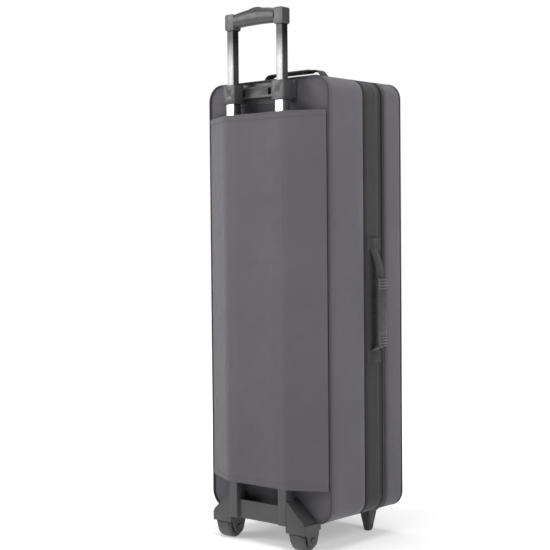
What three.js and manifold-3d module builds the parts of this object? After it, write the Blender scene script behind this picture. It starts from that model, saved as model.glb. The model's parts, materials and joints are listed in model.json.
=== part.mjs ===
// A tall wheeled soft case, as used to roll bowling balls or other kit stacked in line: a boxy
// fabric case with a zipped lid on its long side, a telescoping pull handle on its back, two
// wheels under the back edge, two feet under the front, and a carry handle on the side and top.
// Millimetres, +Z up. The pull handle's side faces -Y and the lid faces +Y. Depths are measured
// from the back face towards the lid. The whole group is centred over the origin at the end.
import * as THREE from "three";
import { ConvexGeometry } from "three/addons/geometries/ConvexGeometry.js";
import { mergeVertices } from "three/addons/utils/BufferGeometryUtils.js";
import Module from "manifold-3d";

const wasm = await Module();
wasm.setup();

// ---------- driving dimensions ----------

// Case
const CASE_WIDTH = 340;
const CASE_HEIGHT = 940;
const CASE_DEPTH = 256;
const CORNER_RADIUS = 36; // of the back and lid panels
const WHEEL_HEADROOM = 8; // tops of the wheels to the underside of the case
const SHELL_WALL = 4; // fabric over polyethylene board
const FOAM_WALL = 6;
const BOARD_THICKNESS = 3; // plate behind the back foam, which the handle frame bolts to
const PIPING = 3.7; // cord sewn round the back and lid panels
const REAR_DEPTH = 120; // grey rear shell, from the back face
const GUSSET_END = 174; // black band, up to the zip
const LID_START = 196; // rim of the lid shell
const SPLIT_DEPTH = 185; // plane where the zip parts
const ZIP_TAPE = 1.6;
const ZIP_TEETH = 3; // half the width of the row of teeth
const FOAM_SETBACK = 5.5; // foam edges stay this far from the split plane
const DIVIDER_COUNT = 3;
const DIVIDER_THICKNESS = 10;
const POCKET_THICKNESS = 2;
const POCKET_MARGIN = 24; // from the lid foam's inner walls
const GAP = 0.3; // between pieces that touch

// Pull handle frame
const TUBE_SPACING = 140;
const TUBE_STANDOFF = 28; // tube axes behind the back face
const OUTER_TUBE = 22; // square, outside
const OUTER_WALL = 1.5;
const INNER_TUBE_X = 17;
const INNER_TUBE_Y = 17.5;
const INNER_WALL = 1.2;
const SLIDE_GAP = 0.6; // all round an inner tube where the top bracket guides it
const OUTER_TUBE_BOTTOM = 92; // above the underside of the case
const INNER_TUBE_DROP = 238; // lower ends below the top of the case, pushed home
const HANDLE_TRAVEL = 112;
const BLOCK_WIDTH = 34;
const BLOCK_HEIGHT = 40;
const BLOCK_DEPTH = 29;
const NECK_INSET = 5; // the necks that carry the blocks are this much smaller all round
const BLOCK_WALL = 3.5; // block face outside the tube
const BLOCK_TOP_DROP = 8; // block tops below the top of the case
const BLOCK_LIP = 4; // guide above the outer tube
const BRIDGE_HEIGHT = 24;
const BRIDGE_THICKNESS = 8;
const BRIDGE_HOLE = [9, 16];
const BRIDGE_HOLES_AT = [-52.5, 22];
const FLANGE_THICKNESS = 2.5;
const SCREW_HEAD_RADIUS = 3.6;

// Grip
const GRIP_RISE = 117; // underside of the grip's end caps above the bracket blocks
const CAP_HEIGHT = 35;
const CAP_OUTSIDE = 12; // cap beyond the tube axis
const CAP_INSIDE = 13;
const CAP_DEPTH = 23;
const CAP_SEAT = 19; // how far an inner tube goes into its cap
const GRIP_DEPTH = 27;
const GRIP_END_DROP = 5; // bar's underside above the caps' underside, at its ends
const GRIP_ARCH = 6; // rise of the bar's top at mid span
const GRIP_UNDER_ARCH = 1.5;
const BUTTON_LENGTH = 40;
const BUTTON_WIDTH = 11;
const BUTTON_PROUD = 3;
const BUTTON_TRAVEL = 4;
const LINK_RISE = 24.5; // above the caps' underside
const LINK_HEIGHT = 4; // bar that joins the two release rods
const LINK_WIDTH = 8;
const ROD_RADIUS = 2;
const PIN_RADIUS = 2.5;
const PIN_TRAVEL = 3;
const SLUG_HEIGHT = 40;
const SPRING_RADIUS = 3;
const SPRING_WIRE = 0.5;
const SPRING_TURNS = 4;

// Wheel base, with heights above the underside of the case
const WHEEL_RADIUS = 25;
const WHEEL_WIDTH = 39;
const WHEEL_CENTRE = 105; // from the middle of the case
const WHEEL_STANDOFF = 12; // axle behind the back face
const TYRE_THICKNESS = 9;
const TYRE_SHOULDER = 8;
const WHEEL_SIDE_GAP = 1.5;
const WHEEL_WELL_GAP = 2.5;
const CHEEK = 5;
const AXLE_RADIUS = 4;
const BUSH_RADIUS = 7;
const RUNNING_GAP = 0.06;
const LEG_WIDTH = 22;
const LEG_FACE = 41; // leg faces behind the back face
const FRAME_BAR_TOP = 33;
const FRAME_BAR_BOTTOM = -7;
const FRAME_BAR_SETBACK = 8; // bar behind the leg faces
const FRAME_BAR_THICKNESS = 5;
const HOOD_STEP = 0.8; // hood faces behind the leg faces
const FLARE_TOP = 46;
const FENDER_EDGE = -20; // lower edge of the wheel hoods
const SOCKET_TOP = 157;
const COVER_TOP_DROP = 74; // below the top of the case
const COVER_BOTTOM = 72;
const COVER_THICKNESS = 1.6;

// Feet
const FOOT_CENTRE = 100;
const FOOT_DEPTH = 221;
const FOOT_TOP = [30, 33];
const FOOT_BOTTOM = [13, 16];
const FOOT_FLANGE = [40, 44];
const FOOT_FLANGE_THICKNESS = 4;

// Carry handles
const HANDLE_DEPTH = 152; // side handle, from the back face
const HANDLE_DROP = 5; // middle of its strap below the middle of the case
const ANCHOR_SPAN = 270; // between the far ends of its sewn patches
const ANCHOR_SIZE = [50, 26];
const ANCHOR_THICKNESS = 2.4;
const STRAP_WIDTH = 25;
const STRAP_THICKNESS = 2.4;
const SIDE_GRIP_LENGTH = 149;
const SIDE_GRIP_DROP = 25; // the grip hangs this far below the middle of its strap
const SIDE_GRIP_SIZE = [18, 30];
const SIDE_GRIP_CORNER = 5;
const SIDE_GRIP_STANDOFF = 19;
const SIDE_STUB_RISE = 9.4; // sewn stubs of a strap stand this high, where its loose part begins
const TOP_STUB_RISE = 13.5;
const STRAP_END_GAP = 2.4; // loose strap ends stay clear of the stubs as they swing
const TOP_HANDLE_DEPTH = 98;
const TOP_HANDLE_LENGTH = 232;
const TOP_HANDLE_RISE = 23;
const TOP_HANDLE_WIDTH = 28;
const TOP_HANDLE_THICKNESS = 5;

// Zip sliders
const SLIDER_CENTRE = 50; // where the two sliders meet, on the top
const SLIDER_SIZE = [12, 10, 4];
const SLIDER_PITCH = 14;
const PULL_LENGTH = 30;
const PULL_WIDTH = 8;
const PULL_THICKNESS = 1.6;

const CURVE_STEPS = 8;
const ROUND_STEPS = 24;

// ---------- places worked out from them ----------

const halfWidth = CASE_WIDTH / 2;
const caseBottom = 2 * WHEEL_RADIUS + WHEEL_HEADROOM;
const caseTop = caseBottom + CASE_HEIGHT;
const caseMiddle = caseBottom + CASE_HEIGHT / 2;
const backY = -CASE_DEPTH / 2;
const panelDepth = PIPING + GAP; // outer plane of the back panel
const lidPanelDepth = CASE_DEPTH - PIPING - GAP;
const foamInset = SHELL_WALL + GAP;
const bayInset = foamInset + FOAM_WALL;
const boardDepth = panelDepth + SHELL_WALL + GAP;
const foamDepth = boardDepth + BOARD_THICKNESS + GAP;
const tubeX = TUBE_SPACING / 2;
const tubeY = backY - TUBE_STANDOFF;
const blockTop = caseTop - BLOCK_TOP_DROP;
const blockBottom = blockTop - BLOCK_HEIGHT;
const capBottom = blockTop + GRIP_RISE;
const capTop = capBottom + CAP_HEIGHT;
const outerTubeBottom = caseBottom + OUTER_TUBE_BOTTOM;
const innerTubeBottom = caseTop - INNER_TUBE_DROP;
const socketTop = caseBottom + SOCKET_TOP;
const coverZ = [caseBottom + COVER_BOTTOM, caseTop - COVER_TOP_DROP];
const handleMiddle = caseMiddle - HANDLE_DROP;
const grey = 0x57565a;

// ---------- geometry helpers ----------

const metal = (colour, roughness) =>
  new THREE.MeshStandardMaterial({ color: colour, roughness, metalness: 1 });
const matte = (colour, roughness) =>
  new THREE.MeshStandardMaterial({ color: colour, roughness, metalness: 0 });
const looks = {
  greyFabric: matte(grey, 0.9),
  blackFabric: matte(0x2b2b2d, 0.9),
  foam: matte(0x2a2a2c, 0.95),
  lining: matte(0x3a3a3e, 0.95),
  board: matte(0x1d1d1f, 0.6),
  piping: matte(0x39393c, 0.7),
  plastic: matte(0x4a4a4c, 0.5),
  blackPlastic: matte(0x1c1c1e, 0.45),
  rubber: matte(0x39393a, 0.6),
  polyurethane: matte(0x4b4b4c, 0.35),
  aluminium: metal(0xc9cacd, 0.3),
  steel: metal(0x9b9ca0, 0.35),
  zip: matte(0x1b1b1d, 0.5),
};

// A closed geometry as a manifold-3d solid, for joining and cutting.
function solid(geometry) {
  const bare = geometry.index ? geometry.toNonIndexed() : geometry.clone();
  bare.deleteAttribute("normal");
  bare.deleteAttribute("uv");
  const merged = mergeVertices(bare, 1e-4);
  return new wasm.Manifold(
    new wasm.Mesh({
      numProp: 3,
      vertProperties: new Float32Array(merged.attributes.position.array),
      triVerts: new Uint32Array(merged.index.array),
    }),
  );
}

function geometryOf(made) {
  const mesh = made.getMesh();
  const geometry = new THREE.BufferGeometry();
  geometry.setAttribute("position", new THREE.BufferAttribute(mesh.vertProperties, 3));
  geometry.setIndex(new THREE.BufferAttribute(mesh.triVerts, 1));
  const flat = geometry.toNonIndexed();
  flat.computeVertexNormals();
  return flat;
}

const join = (...pieces) =>
  geometryOf(pieces.map(solid).reduce((all, piece) => all.add(piece)));
const cut = (piece, ...tools) =>
  geometryOf(tools.map(solid).reduce((left, tool) => left.subtract(tool), solid(piece)));
const common = (a, b) => geometryOf(solid(a).intersect(solid(b)));

function box(x, y, z) {
  const geometry = new THREE.BoxGeometry(x[1] - x[0], y[1] - y[0], z[1] - z[0]);
  return geometry.translate((x[0] + x[1]) / 2, (y[0] + y[1]) / 2, (z[0] + z[1]) / 2);
}

const around = (middle, size) => [middle - size / 2, middle + size / 2];

// A span given for the right-hand side, as it lies on the side of this sign.
const spanOn = ([low, high], side) => (side > 0 ? [low, high] : [-high, -low]);

// A plate or bar whose outline is drawn in the X-Z plane and runs along Y.
function alongY(shape, y) {
  const geometry = new THREE.ExtrudeGeometry(shape, {
    depth: y[1] - y[0],
    bevelEnabled: false,
    curveSegments: CURVE_STEPS,
  });
  return geometry.rotateX(Math.PI / 2).translate(0, y[1], 0);
}

// The same for an outline in the Y-Z plane that runs along X.
function alongX(shape, x) {
  const geometry = new THREE.ExtrudeGeometry(shape, {
    depth: x[1] - x[0],
    bevelEnabled: false,
    curveSegments: CURVE_STEPS,
  });
  const turn = new THREE.Matrix4().makeBasis(
    new THREE.Vector3(0, 1, 0),
    new THREE.Vector3(0, 0, 1),
    new THREE.Vector3(1, 0, 0),
  );
  return geometry.applyMatrix4(turn).translate(x[0], 0, 0);
}

// The same for an outline in the X-Y plane that runs along Z.
function alongZ(shape, z) {
  const geometry = new THREE.ExtrudeGeometry(shape, {
    depth: z[1] - z[0],
    bevelEnabled: false,
    curveSegments: CURVE_STEPS,
  });
  return geometry.translate(0, 0, z[0]);
}

function outline(points) {
  return new THREE.Shape(points.map(([a, b]) => new THREE.Vector2(a, b)));
}

function roundedRectangle(width, height, radius, middleX = 0, middleY = 0) {
  const [left, right] = around(middleX, width);
  const [low, high] = around(middleY, height);
  const shape = new THREE.Shape();
  shape.moveTo(left + radius, low);
  shape.lineTo(right - radius, low);
  shape.absarc(right - radius, low + radius, radius, -Math.PI / 2, 0);
  shape.lineTo(right, high - radius);
  shape.absarc(right - radius, high - radius, radius, 0, Math.PI / 2);
  shape.lineTo(left + radius, high);
  shape.absarc(left + radius, high - radius, radius, Math.PI / 2, Math.PI);
  shape.lineTo(left, low + radius);
  shape.absarc(left + radius, low + radius, radius, Math.PI, 1.5 * Math.PI);
  return shape;
}

// The case's own outline drawn in from its faces, over a range of depths.
function caseBlock(inset, depths) {
  const shape = roundedRectangle(
    CASE_WIDTH - 2 * inset,
    CASE_HEIGHT - 2 * inset,
    CORNER_RADIUS - inset,
    0,
    caseMiddle,
  );
  return alongY(shape, [backY + depths[0], backY + depths[1]]);
}

const caseRing = (inset, wall, depths) =>
  cut(caseBlock(inset, depths), caseBlock(inset + wall, [depths[0] - 1, depths[1] + 1]));

// A round bar from a point along an axis.
function rod(radius, length, axis, from, sides = ROUND_STEPS) {
  const geometry = new THREE.CylinderGeometry(radius, radius, length, sides);
  if (axis === "x") geometry.rotateZ(-Math.PI / 2);
  if (axis === "z") geometry.rotateX(Math.PI / 2);
  const middle = { x: 0, y: 0, z: 0, [axis]: length / 2 };
  return geometry.translate(from[0] + middle.x, from[1] + middle.y, from[2] + middle.z);
}

// A ring or drum turned about a line along X, from a closed profile of [distance along, radius].
function turnedAboutX(profile, middle) {
  const points = profile.map(([along, radius]) => new THREE.Vector2(radius, along));
  const geometry = new THREE.LatheGeometry(points, ROUND_STEPS * 2);
  return geometry.rotateZ(-Math.PI / 2).translate(middle[0], middle[1], middle[2]);
}

const bag = new THREE.Group();
bag.name = "wheeled_case";

function addTo(group, name, geometry, look) {
  const mesh = new THREE.Mesh(geometry, look);
  mesh.name = name;
  group.add(mesh);
}

const sides = [
  ["left", -1],
  ["right", 1],
];

// ---------- case ----------

function makeCase() {
  const group = new THREE.Group();
  const rearShell = cut(
    caseBlock(0, [panelDepth, REAR_DEPTH]),
    caseBlock(SHELL_WALL, [panelDepth + SHELL_WALL, REAR_DEPTH + 1]),
  );
  addTo(group, "rear_shell", rearShell, looks.greyFabric);
  const gusset = caseRing(0, SHELL_WALL, [REAR_DEPTH + GAP, GUSSET_END]);
  addTo(group, "zip_gusset", gusset, looks.blackFabric);
  const rearPiping = caseRing(0, PIPING, [0, PIPING]);
  addTo(group, "rear_piping", rearPiping, looks.piping);
  const board = caseBlock(bayInset, [boardDepth, boardDepth + BOARD_THICKNESS]);
  addTo(group, "back_board", board, looks.board);
  const foam = cut(
    caseBlock(foamInset, [foamDepth, SPLIT_DEPTH - FOAM_SETBACK]),
    caseBlock(bayInset, [foamDepth + FOAM_WALL, SPLIT_DEPTH]),
  );
  addTo(group, "foam_liner", foam, looks.foam);
  makeDividers(group);
  return group;
}

function makeDividers(group) {
  const bayHeight =
    (CASE_HEIGHT - 2 * bayInset - DIVIDER_COUNT * DIVIDER_THICKNESS) / (DIVIDER_COUNT + 1);
  const reach = halfWidth - bayInset - GAP;
  const y = [backY + foamDepth + FOAM_WALL + GAP, backY + SPLIT_DEPTH - FOAM_SETBACK];
  for (let i = 1; i <= DIVIDER_COUNT; i++) {
    const low = caseBottom + bayInset + i * bayHeight + (i - 1) * DIVIDER_THICKNESS;
    const divider = box([-reach, reach], y, [low, low + DIVIDER_THICKNESS]);
    addTo(group, "divider_" + i, divider, looks.lining);
  }
}

// ---------- lid and zip ----------

// The zip runs over the top, down the right side and along the bottom. The left side is the hinge.
const zipSide = () => box([-halfWidth + CORNER_RADIUS, halfWidth + 50], [-500, 500], [-50, 2000]);
const hingeSide = () =>
  box([-halfWidth - 50, -halfWidth + CORNER_RADIUS - GAP], [-500, 500], [-50, 2000]);

function zipHalf(depths, teethDepths) {
  const tape = caseRing(1, ZIP_TAPE, depths);
  const teeth = caseRing(0, 1 + ZIP_TAPE, teethDepths);
  return common(join(tape, teeth), zipSide());
}

function makeZipAndHinge() {
  const group = new THREE.Group();
  const caseEdge = SPLIT_DEPTH - GAP / 2;
  const half = zipHalf([GUSSET_END + GAP, caseEdge], [caseEdge - ZIP_TEETH, caseEdge]);
  addTo(group, "zip_half_case", half, looks.zip);
  const strip = common(caseRing(0, ZIP_TAPE, [GUSSET_END + GAP, caseEdge]), hingeSide());
  addTo(group, "hinge_strip", strip, looks.blackFabric);
  return group;
}

function makeLid() {
  const group = new THREE.Group();
  const lidEdge = SPLIT_DEPTH + GAP / 2;
  const shell = cut(
    caseBlock(0, [LID_START, lidPanelDepth]),
    caseBlock(SHELL_WALL, [LID_START - 1, lidPanelDepth - SHELL_WALL]),
  );
  const hingeRim = common(caseRing(0, ZIP_TAPE, [lidEdge, LID_START + 1]), hingeSide());
  addTo(group, "lid_shell", join(shell, hingeRim), looks.greyFabric);
  const half = zipHalf([lidEdge, LID_START - GAP], [lidEdge, lidEdge + ZIP_TEETH]);
  addTo(group, "zip_half_lid", half, looks.zip);
  const lidPiping = caseRing(0, PIPING, [CASE_DEPTH - PIPING, CASE_DEPTH]);
  addTo(group, "lid_piping", lidPiping, looks.piping);
  const foamFront = lidPanelDepth - SHELL_WALL - GAP;
  const foam = cut(
    caseBlock(foamInset, [SPLIT_DEPTH + FOAM_SETBACK, foamFront]),
    caseBlock(bayInset, [SPLIT_DEPTH, foamFront - FOAM_WALL]),
  );
  addTo(group, "lid_foam", foam, looks.foam);
  const pocketFront = foamFront - FOAM_WALL - GAP;
  const pocket = caseBlock(bayInset + POCKET_MARGIN, [pocketFront - POCKET_THICKNESS, pocketFront]);
  addTo(group, "lid_pocket", pocket, looks.lining);
  return group;
}

// A zip slider rides on the top run of the zip, with its pull tab laid flat beyond it.
function makeSlider(name, side) {
  const group = new THREE.Group();
  const x = SLIDER_CENTRE + (side * SLIDER_PITCH) / 2;
  const y = backY + SPLIT_DEPTH;
  const base = caseTop + GAP;
  const body = box(around(x, SLIDER_SIZE[0]), around(y, SLIDER_SIZE[1]), [base, base + 2.2]);
  const bridge = box(around(x, 6), around(y, 3), [base + 2, base + SLIDER_SIZE[2]]);
  addTo(group, "slider_" + name, join(body, bridge), looks.steel);
  const start = x + side * (SLIDER_SIZE[0] / 2 + 2 * GAP);
  const end = start + side * PULL_LENGTH;
  const span = [Math.min(start, end), Math.max(start, end)];
  const middle = (span[0] + span[1]) / 2;
  const shape = roundedRectangle(PULL_LENGTH, PULL_WIDTH, 2.5, middle, y);
  const tab = alongZ(shape, [base + GAP, base + GAP + PULL_THICKNESS]);
  addTo(group, "pull_tab_" + name, tab, looks.zip);
  return group;
}

// ---------- pull handle ----------

function tube(sizeX, sizeY, wall, side, z) {
  const x = side * tubeX;
  return cut(
    box(around(x, sizeX), around(tubeY, sizeY), z),
    box(around(x, sizeX - 2 * wall), around(tubeY, sizeY - 2 * wall), [z[0] - 1, z[1] + 1]),
  );
}

const pinHeight = innerTubeBottom + SLUG_HEIGHT * 0.4;

function makeOuterTubes() {
  const group = new THREE.Group();
  for (const [name, side] of sides) {
    const z = [outerTubeBottom, blockTop - BLOCK_LIP - GAP];
    const holes = [pinHeight, pinHeight - HANDLE_TRAVEL].map((height) =>
      rod(PIN_RADIUS + 0.5, OUTER_TUBE, "x", [tubeX, tubeY, height]),
    );
    holes.forEach((hole) => side < 0 && hole.rotateZ(Math.PI).translate(0, 2 * tubeY, 0));
    const made = cut(tube(OUTER_TUBE, OUTER_TUBE, OUTER_WALL, side, z), ...holes);
    addTo(group, "outer_tube_" + name, made, looks.aluminium);
  }
  return group;
}

// Two blocks hold the tubes' upper ends, with a bridge between them and a flange on the case.
function makeTopBracket() {
  const group = new THREE.Group();
  const face = tubeY - OUTER_TUBE / 2 - BLOCK_WALL;
  const panel = backY + PIPING;
  const z = [blockBottom, blockTop];
  const middleZ = (blockTop + blockBottom) / 2;
  const back = face + BLOCK_DEPTH;
  const blocks = sides.map(([, side]) => box(around(side * tubeX, BLOCK_WIDTH), [face, back], z));
  const necks = sides.map(([, side]) =>
    box(
      around(side * tubeX, BLOCK_WIDTH - 2 * NECK_INSET),
      [back - 1, panel],
      around(middleZ, BLOCK_HEIGHT - 2 * NECK_INSET),
    ),
  );
  const bridgeZ = around(middleZ + 2.5, BRIDGE_HEIGHT);
  const bridgeY = [back - 1, back - 1 + BRIDGE_THICKNESS];
  const bridge = box([-tubeX, tubeX], bridgeY, bridgeZ);
  const flangeShape = roundedRectangle(
    TUBE_SPACING + BLOCK_WIDTH - 4,
    BLOCK_HEIGHT + 6,
    6,
    0,
    middleZ,
  );
  const flange = alongY(flangeShape, [panel - FLANGE_THICKNESS, panel]);
  const tools = [];
  for (const [, side] of sides) {
    const x = side * tubeX;
    const seat = OUTER_TUBE + 2 * GAP;
    tools.push(box(around(x, seat), around(tubeY, seat), [z[0] - 1, z[1] - BLOCK_LIP]));
    const guide = [INNER_TUBE_X + 2 * SLIDE_GAP, INNER_TUBE_Y + 2 * SLIDE_GAP];
    tools.push(box(around(x, guide[0]), around(tubeY, guide[1]), [z[0], z[1] + 1]));
    tools.push(rod(SCREW_HEAD_RADIUS + GAP, 2.2, "y", [x, face - 1, middleZ]));
  }
  for (const x of BRIDGE_HOLES_AT) {
    const radius = BRIDGE_HOLE[0] / 2 - 0.1;
    const hole = roundedRectangle(...BRIDGE_HOLE, radius, x, (bridgeZ[0] + bridgeZ[1]) / 2);
    tools.push(alongY(hole, [back - 2, back + BRIDGE_THICKNESS]));
  }
  const made = cut(join(...blocks, ...necks, bridge, flange), ...tools);
  addTo(group, "top_bracket", made, looks.plastic);
  for (const [name, side] of sides) {
    const from = [side * tubeX, face - 0.6, middleZ];
    const screw = cut(
      rod(SCREW_HEAD_RADIUS, 1.5, "y", from),
      box(around(from[0], 4.5), [face - 1, face], around(from[2], 0.9)),
      box(around(from[0], 0.9), [face - 1, face], around(from[2], 4.5)),
    );
    addTo(group, "bracket_screw_" + name, screw, looks.blackPlastic);
  }
  return group;
}

function makeSlidingTubes() {
  const group = new THREE.Group();
  for (const [name, side] of sides) {
    const x = side * tubeX;
    const top = capBottom + CAP_SEAT;
    const pinHole = rod(PIN_RADIUS + 0.3, INNER_TUBE_X, "x", [
      side < 0 ? x - INNER_TUBE_X : x,
      tubeY,
      pinHeight,
    ]);
    const made = cut(
      tube(INNER_TUBE_X, INNER_TUBE_Y, INNER_WALL, side, [innerTubeBottom, top]),
      pinHole,
    );
    addTo(group, "inner_tube_" + name, made, looks.aluminium);
    const clear = 2 * (INNER_WALL + GAP);
    const slugZ = [innerTubeBottom + 2, innerTubeBottom + 2 + SLUG_HEIGHT];
    const slug = cut(
      box(around(x, INNER_TUBE_X - clear), around(tubeY, INNER_TUBE_Y - clear), slugZ),
      rod(PIN_RADIUS + 0.2, INNER_TUBE_X, "x", [x - INNER_TUBE_X / 2, tubeY, pinHeight]),
      rod(ROD_RADIUS + 0.4, SLUG_HEIGHT, "z", [x, tubeY, pinHeight + PIN_RADIUS + 1.5]),
    );
    addTo(group, "lock_slug_" + name, slug, looks.blackPlastic);
    const tip = OUTER_TUBE / 2 - OUTER_WALL - 0.4;
    const length = tip - 1.5;
    const from = [side < 0 ? x - tip : x + 1.5, tubeY, pinHeight];
    addTo(group, "lock_pin_" + name, rod(PIN_RADIUS, length, "x", from, 16), looks.steel);
  }
  return group;
}

// The grip: a moulded end cap on each inner tube, an arched bar between them, and a push button
// on top that drives two release rods through a link bar.
function makeGrip() {
  const group = new THREE.Group();
  const joinX = tubeX - CAP_INSIDE;
  const linkZ = [capBottom + LINK_RISE, capBottom + LINK_RISE + LINK_HEIGHT];
  const slotZ = [linkZ[0] - BUTTON_TRAVEL - 1, linkZ[1] + 1];
  const slotY = around(tubeY, LINK_WIDTH + 1.6);
  for (const [name, side] of sides) {
    const x = side * tubeX;
    const reach = spanOn([tubeX - CAP_INSIDE, tubeX + CAP_OUTSIDE], side);
    const shape = roundedRectangle(
      reach[1] - reach[0],
      CAP_HEIGHT,
      5,
      (reach[0] + reach[1]) / 2,
      capBottom + CAP_HEIGHT / 2,
    );
    const cap = cut(
      alongY(shape, around(tubeY, CAP_DEPTH)),
      box(
        around(x, INNER_TUBE_X + 2 * GAP),
        around(tubeY, INNER_TUBE_Y + 2 * GAP),
        [capBottom - 1, capBottom + CAP_SEAT + GAP],
      ),
      rod(ROD_RADIUS + 1.5, LINK_RISE - CAP_SEAT + 2, "z", [x, tubeY, capBottom + CAP_SEAT - 1]),
      box(spanOn([joinX - 1, tubeX + 4], side), slotY, slotZ),
    );
    addTo(group, "grip_cap_" + name, cap, looks.plastic);
  }
  const barZ = [capBottom + GRIP_END_DROP, capTop];
  const halfSpan = joinX - GAP;
  const shape = new THREE.Shape();
  shape.moveTo(-halfSpan, barZ[0]);
  shape.quadraticCurveTo(0, barZ[0] + 2 * GRIP_UNDER_ARCH, halfSpan, barZ[0]);
  shape.lineTo(halfSpan, barZ[1]);
  shape.quadraticCurveTo(0, barZ[1] + 2 * GRIP_ARCH, -halfSpan, barZ[1]);
  const archTop = barZ[1] + GRIP_ARCH;
  const well = around(0, BUTTON_LENGTH + 1.2);
  const bar = cut(
    alongY(shape, around(tubeY, GRIP_DEPTH)),
    box([-halfSpan - 1, halfSpan + 1], slotY, slotZ),
    box(well, around(tubeY, BUTTON_WIDTH + 1.2), [slotZ[0], archTop + 1]),
    rod(SPRING_RADIUS + 1, 12, "z", [0, tubeY, barZ[0] + GRIP_UNDER_ARCH + 3.5]),
  );
  addTo(group, "grip_bar", bar, looks.plastic);
  return group;
}

function makeRelease() {
  const group = new THREE.Group();
  const linkZ = [capBottom + LINK_RISE, capBottom + LINK_RISE + LINK_HEIGHT];
  const archTop = capTop + GRIP_ARCH;
  const shape = new THREE.Shape();
  shape.moveTo(-BUTTON_LENGTH / 2, linkZ[1] + GAP);
  shape.lineTo(BUTTON_LENGTH / 2, linkZ[1] + GAP);
  shape.lineTo(BUTTON_LENGTH / 2, archTop - 1.2);
  shape.quadraticCurveTo(0, archTop + 2 * BUTTON_PROUD, -BUTTON_LENGTH / 2, archTop - 1.2);
  addTo(group, "push_button", alongY(shape, around(tubeY, BUTTON_WIDTH)), looks.blackPlastic);
  const reach = tubeX + 3;
  addTo(group, "link_bar", box([-reach, reach], around(tubeY, LINK_WIDTH), linkZ), looks.steel);
  for (const [name, side] of sides) {
    const low = pinHeight + PIN_RADIUS + 1.5 + BUTTON_TRAVEL + 1;
    const from = [side * tubeX, tubeY, low];
    const made = rod(ROD_RADIUS, linkZ[0] - GAP - low, "z", from, 12);
    addTo(group, "release_rod_" + name, made, looks.steel);
  }
  const floor = capBottom + GRIP_END_DROP + GRIP_UNDER_ARCH + 3.5;
  addTo(group, "button_spring", coil(floor + GAP, linkZ[0] - GAP), looks.steel);
  return group;
}

// A round wire wound about a vertical line between two heights.
function coil(low, high) {
  const points = [];
  const rise = high - low - 2 * SPRING_WIRE;
  const steps = SPRING_TURNS * 12;
  for (let i = 0; i <= steps; i++) {
    const turn = (i / steps) * SPRING_TURNS * 2 * Math.PI;
    points.push(
      new THREE.Vector3(
        (SPRING_RADIUS - SPRING_WIRE) * Math.cos(turn),
        tubeY + (SPRING_RADIUS - SPRING_WIRE) * Math.sin(turn),
        low + SPRING_WIRE + (rise * i) / steps,
      ),
    );
  }
  const wire = new THREE.Shape();
  wire.absarc(0, 0, SPRING_WIRE, 0, 2 * Math.PI);
  return new THREE.ExtrudeGeometry(wire, {
    extrudePath: new THREE.CatmullRomCurve3(points),
    steps,
    bevelEnabled: false,
    curveSegments: 6,
  });
}

// The fabric sleeve that covers the tubes: flat between them, sloping back to the case's edges.
function makeCover() {
  const flatX = tubeX + OUTER_TUBE / 2 + 3;
  const face = backY - LEG_FACE - GAP - COVER_THICKNESS;
  const edgeX = halfWidth - 5;
  const edgeY = backY - GAP;
  const t = COVER_THICKNESS;
  const shape = outline([
    [-edgeX, edgeY],
    [-edgeX, edgeY - t],
    [-flatX, face],
    [flatX, face],
    [edgeX, edgeY - t],
    [edgeX, edgeY],
    [flatX - 0.3, face + t],
    [-flatX + 0.3, face + t],
  ]);
  addTo(bag, "tube_cover", alongZ(shape, coverZ), looks.greyFabric);
}

// ---------- wheel base ----------

const axleY = backY - WHEEL_STANDOFF;
const wellHalf = WHEEL_WIDTH / 2 + WHEEL_SIDE_GAP;
const hoodX = [WHEEL_CENTRE - wellHalf - CHEEK, WHEEL_CENTRE + wellHalf + CHEEK];
const hoodTop = caseBottom - GAP;

// A cheek carries one end of an axle: a plate that narrows to a round foot.
function cheek(x) {
  const shape = new THREE.Shape();
  const low = WHEEL_RADIUS;
  shape.moveTo(axleY - WHEEL_RADIUS, hoodTop);
  shape.lineTo(axleY - 14, low - 4);
  shape.absarc(axleY, low, 15, Math.PI + 0.3, 2 * Math.PI - 0.3, false);
  shape.lineTo(axleY + WHEEL_RADIUS + 1, hoodTop);
  return alongX(shape, x);
}

// The hood over one wheel: it flares out from the leg, and closes over the wheel as a fender.
function hood(side) {
  const panel = backY - GAP;
  const legEdge = tubeX + LEG_WIDTH / 2;
  const face = backY - LEG_FACE + HOOD_STEP;
  const flareTop = caseBottom + FLARE_TOP;
  const fenderEdge = caseBottom + FENDER_EDGE;
  const flareShape = outline(
    [
      [tubeX, flareTop],
      [legEdge + 1, flareTop],
      [hoodX[1] - 3, caseBottom + 5],
      [hoodX[1] - 0.4, hoodTop - 3],
      [tubeX, hoodTop - 3],
    ].map(([x, z]) => [side * x, z]),
  );
  const flare = alongY(flareShape, [face, panel]);
  const spanX = spanOn(hoodX, side);
  const rear = box(spanX, [face, axleY], [fenderEdge, hoodTop + 0.5]);
  const front = box(spanX, [axleY, axleY + WHEEL_RADIUS + 1], [fenderEdge + 6, hoodTop]);
  const plates = [
    [hoodX[0], hoodX[0] + CHEEK],
    [hoodX[1] - CHEEK, hoodX[1]],
  ].map((span) => cheek(spanOn(span, side)));
  const wellX = around(side * WHEEL_CENTRE, 2 * wellHalf);
  const wellRadius = WHEEL_RADIUS + WHEEL_WELL_GAP;
  const wellStart = [wellX[0], axleY, WHEEL_RADIUS];
  const well = rod(wellRadius, wellX[1] - wellX[0], "x", wellStart, 48);
  return cut(join(flare, rear, front, ...plates), well);
}

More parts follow.
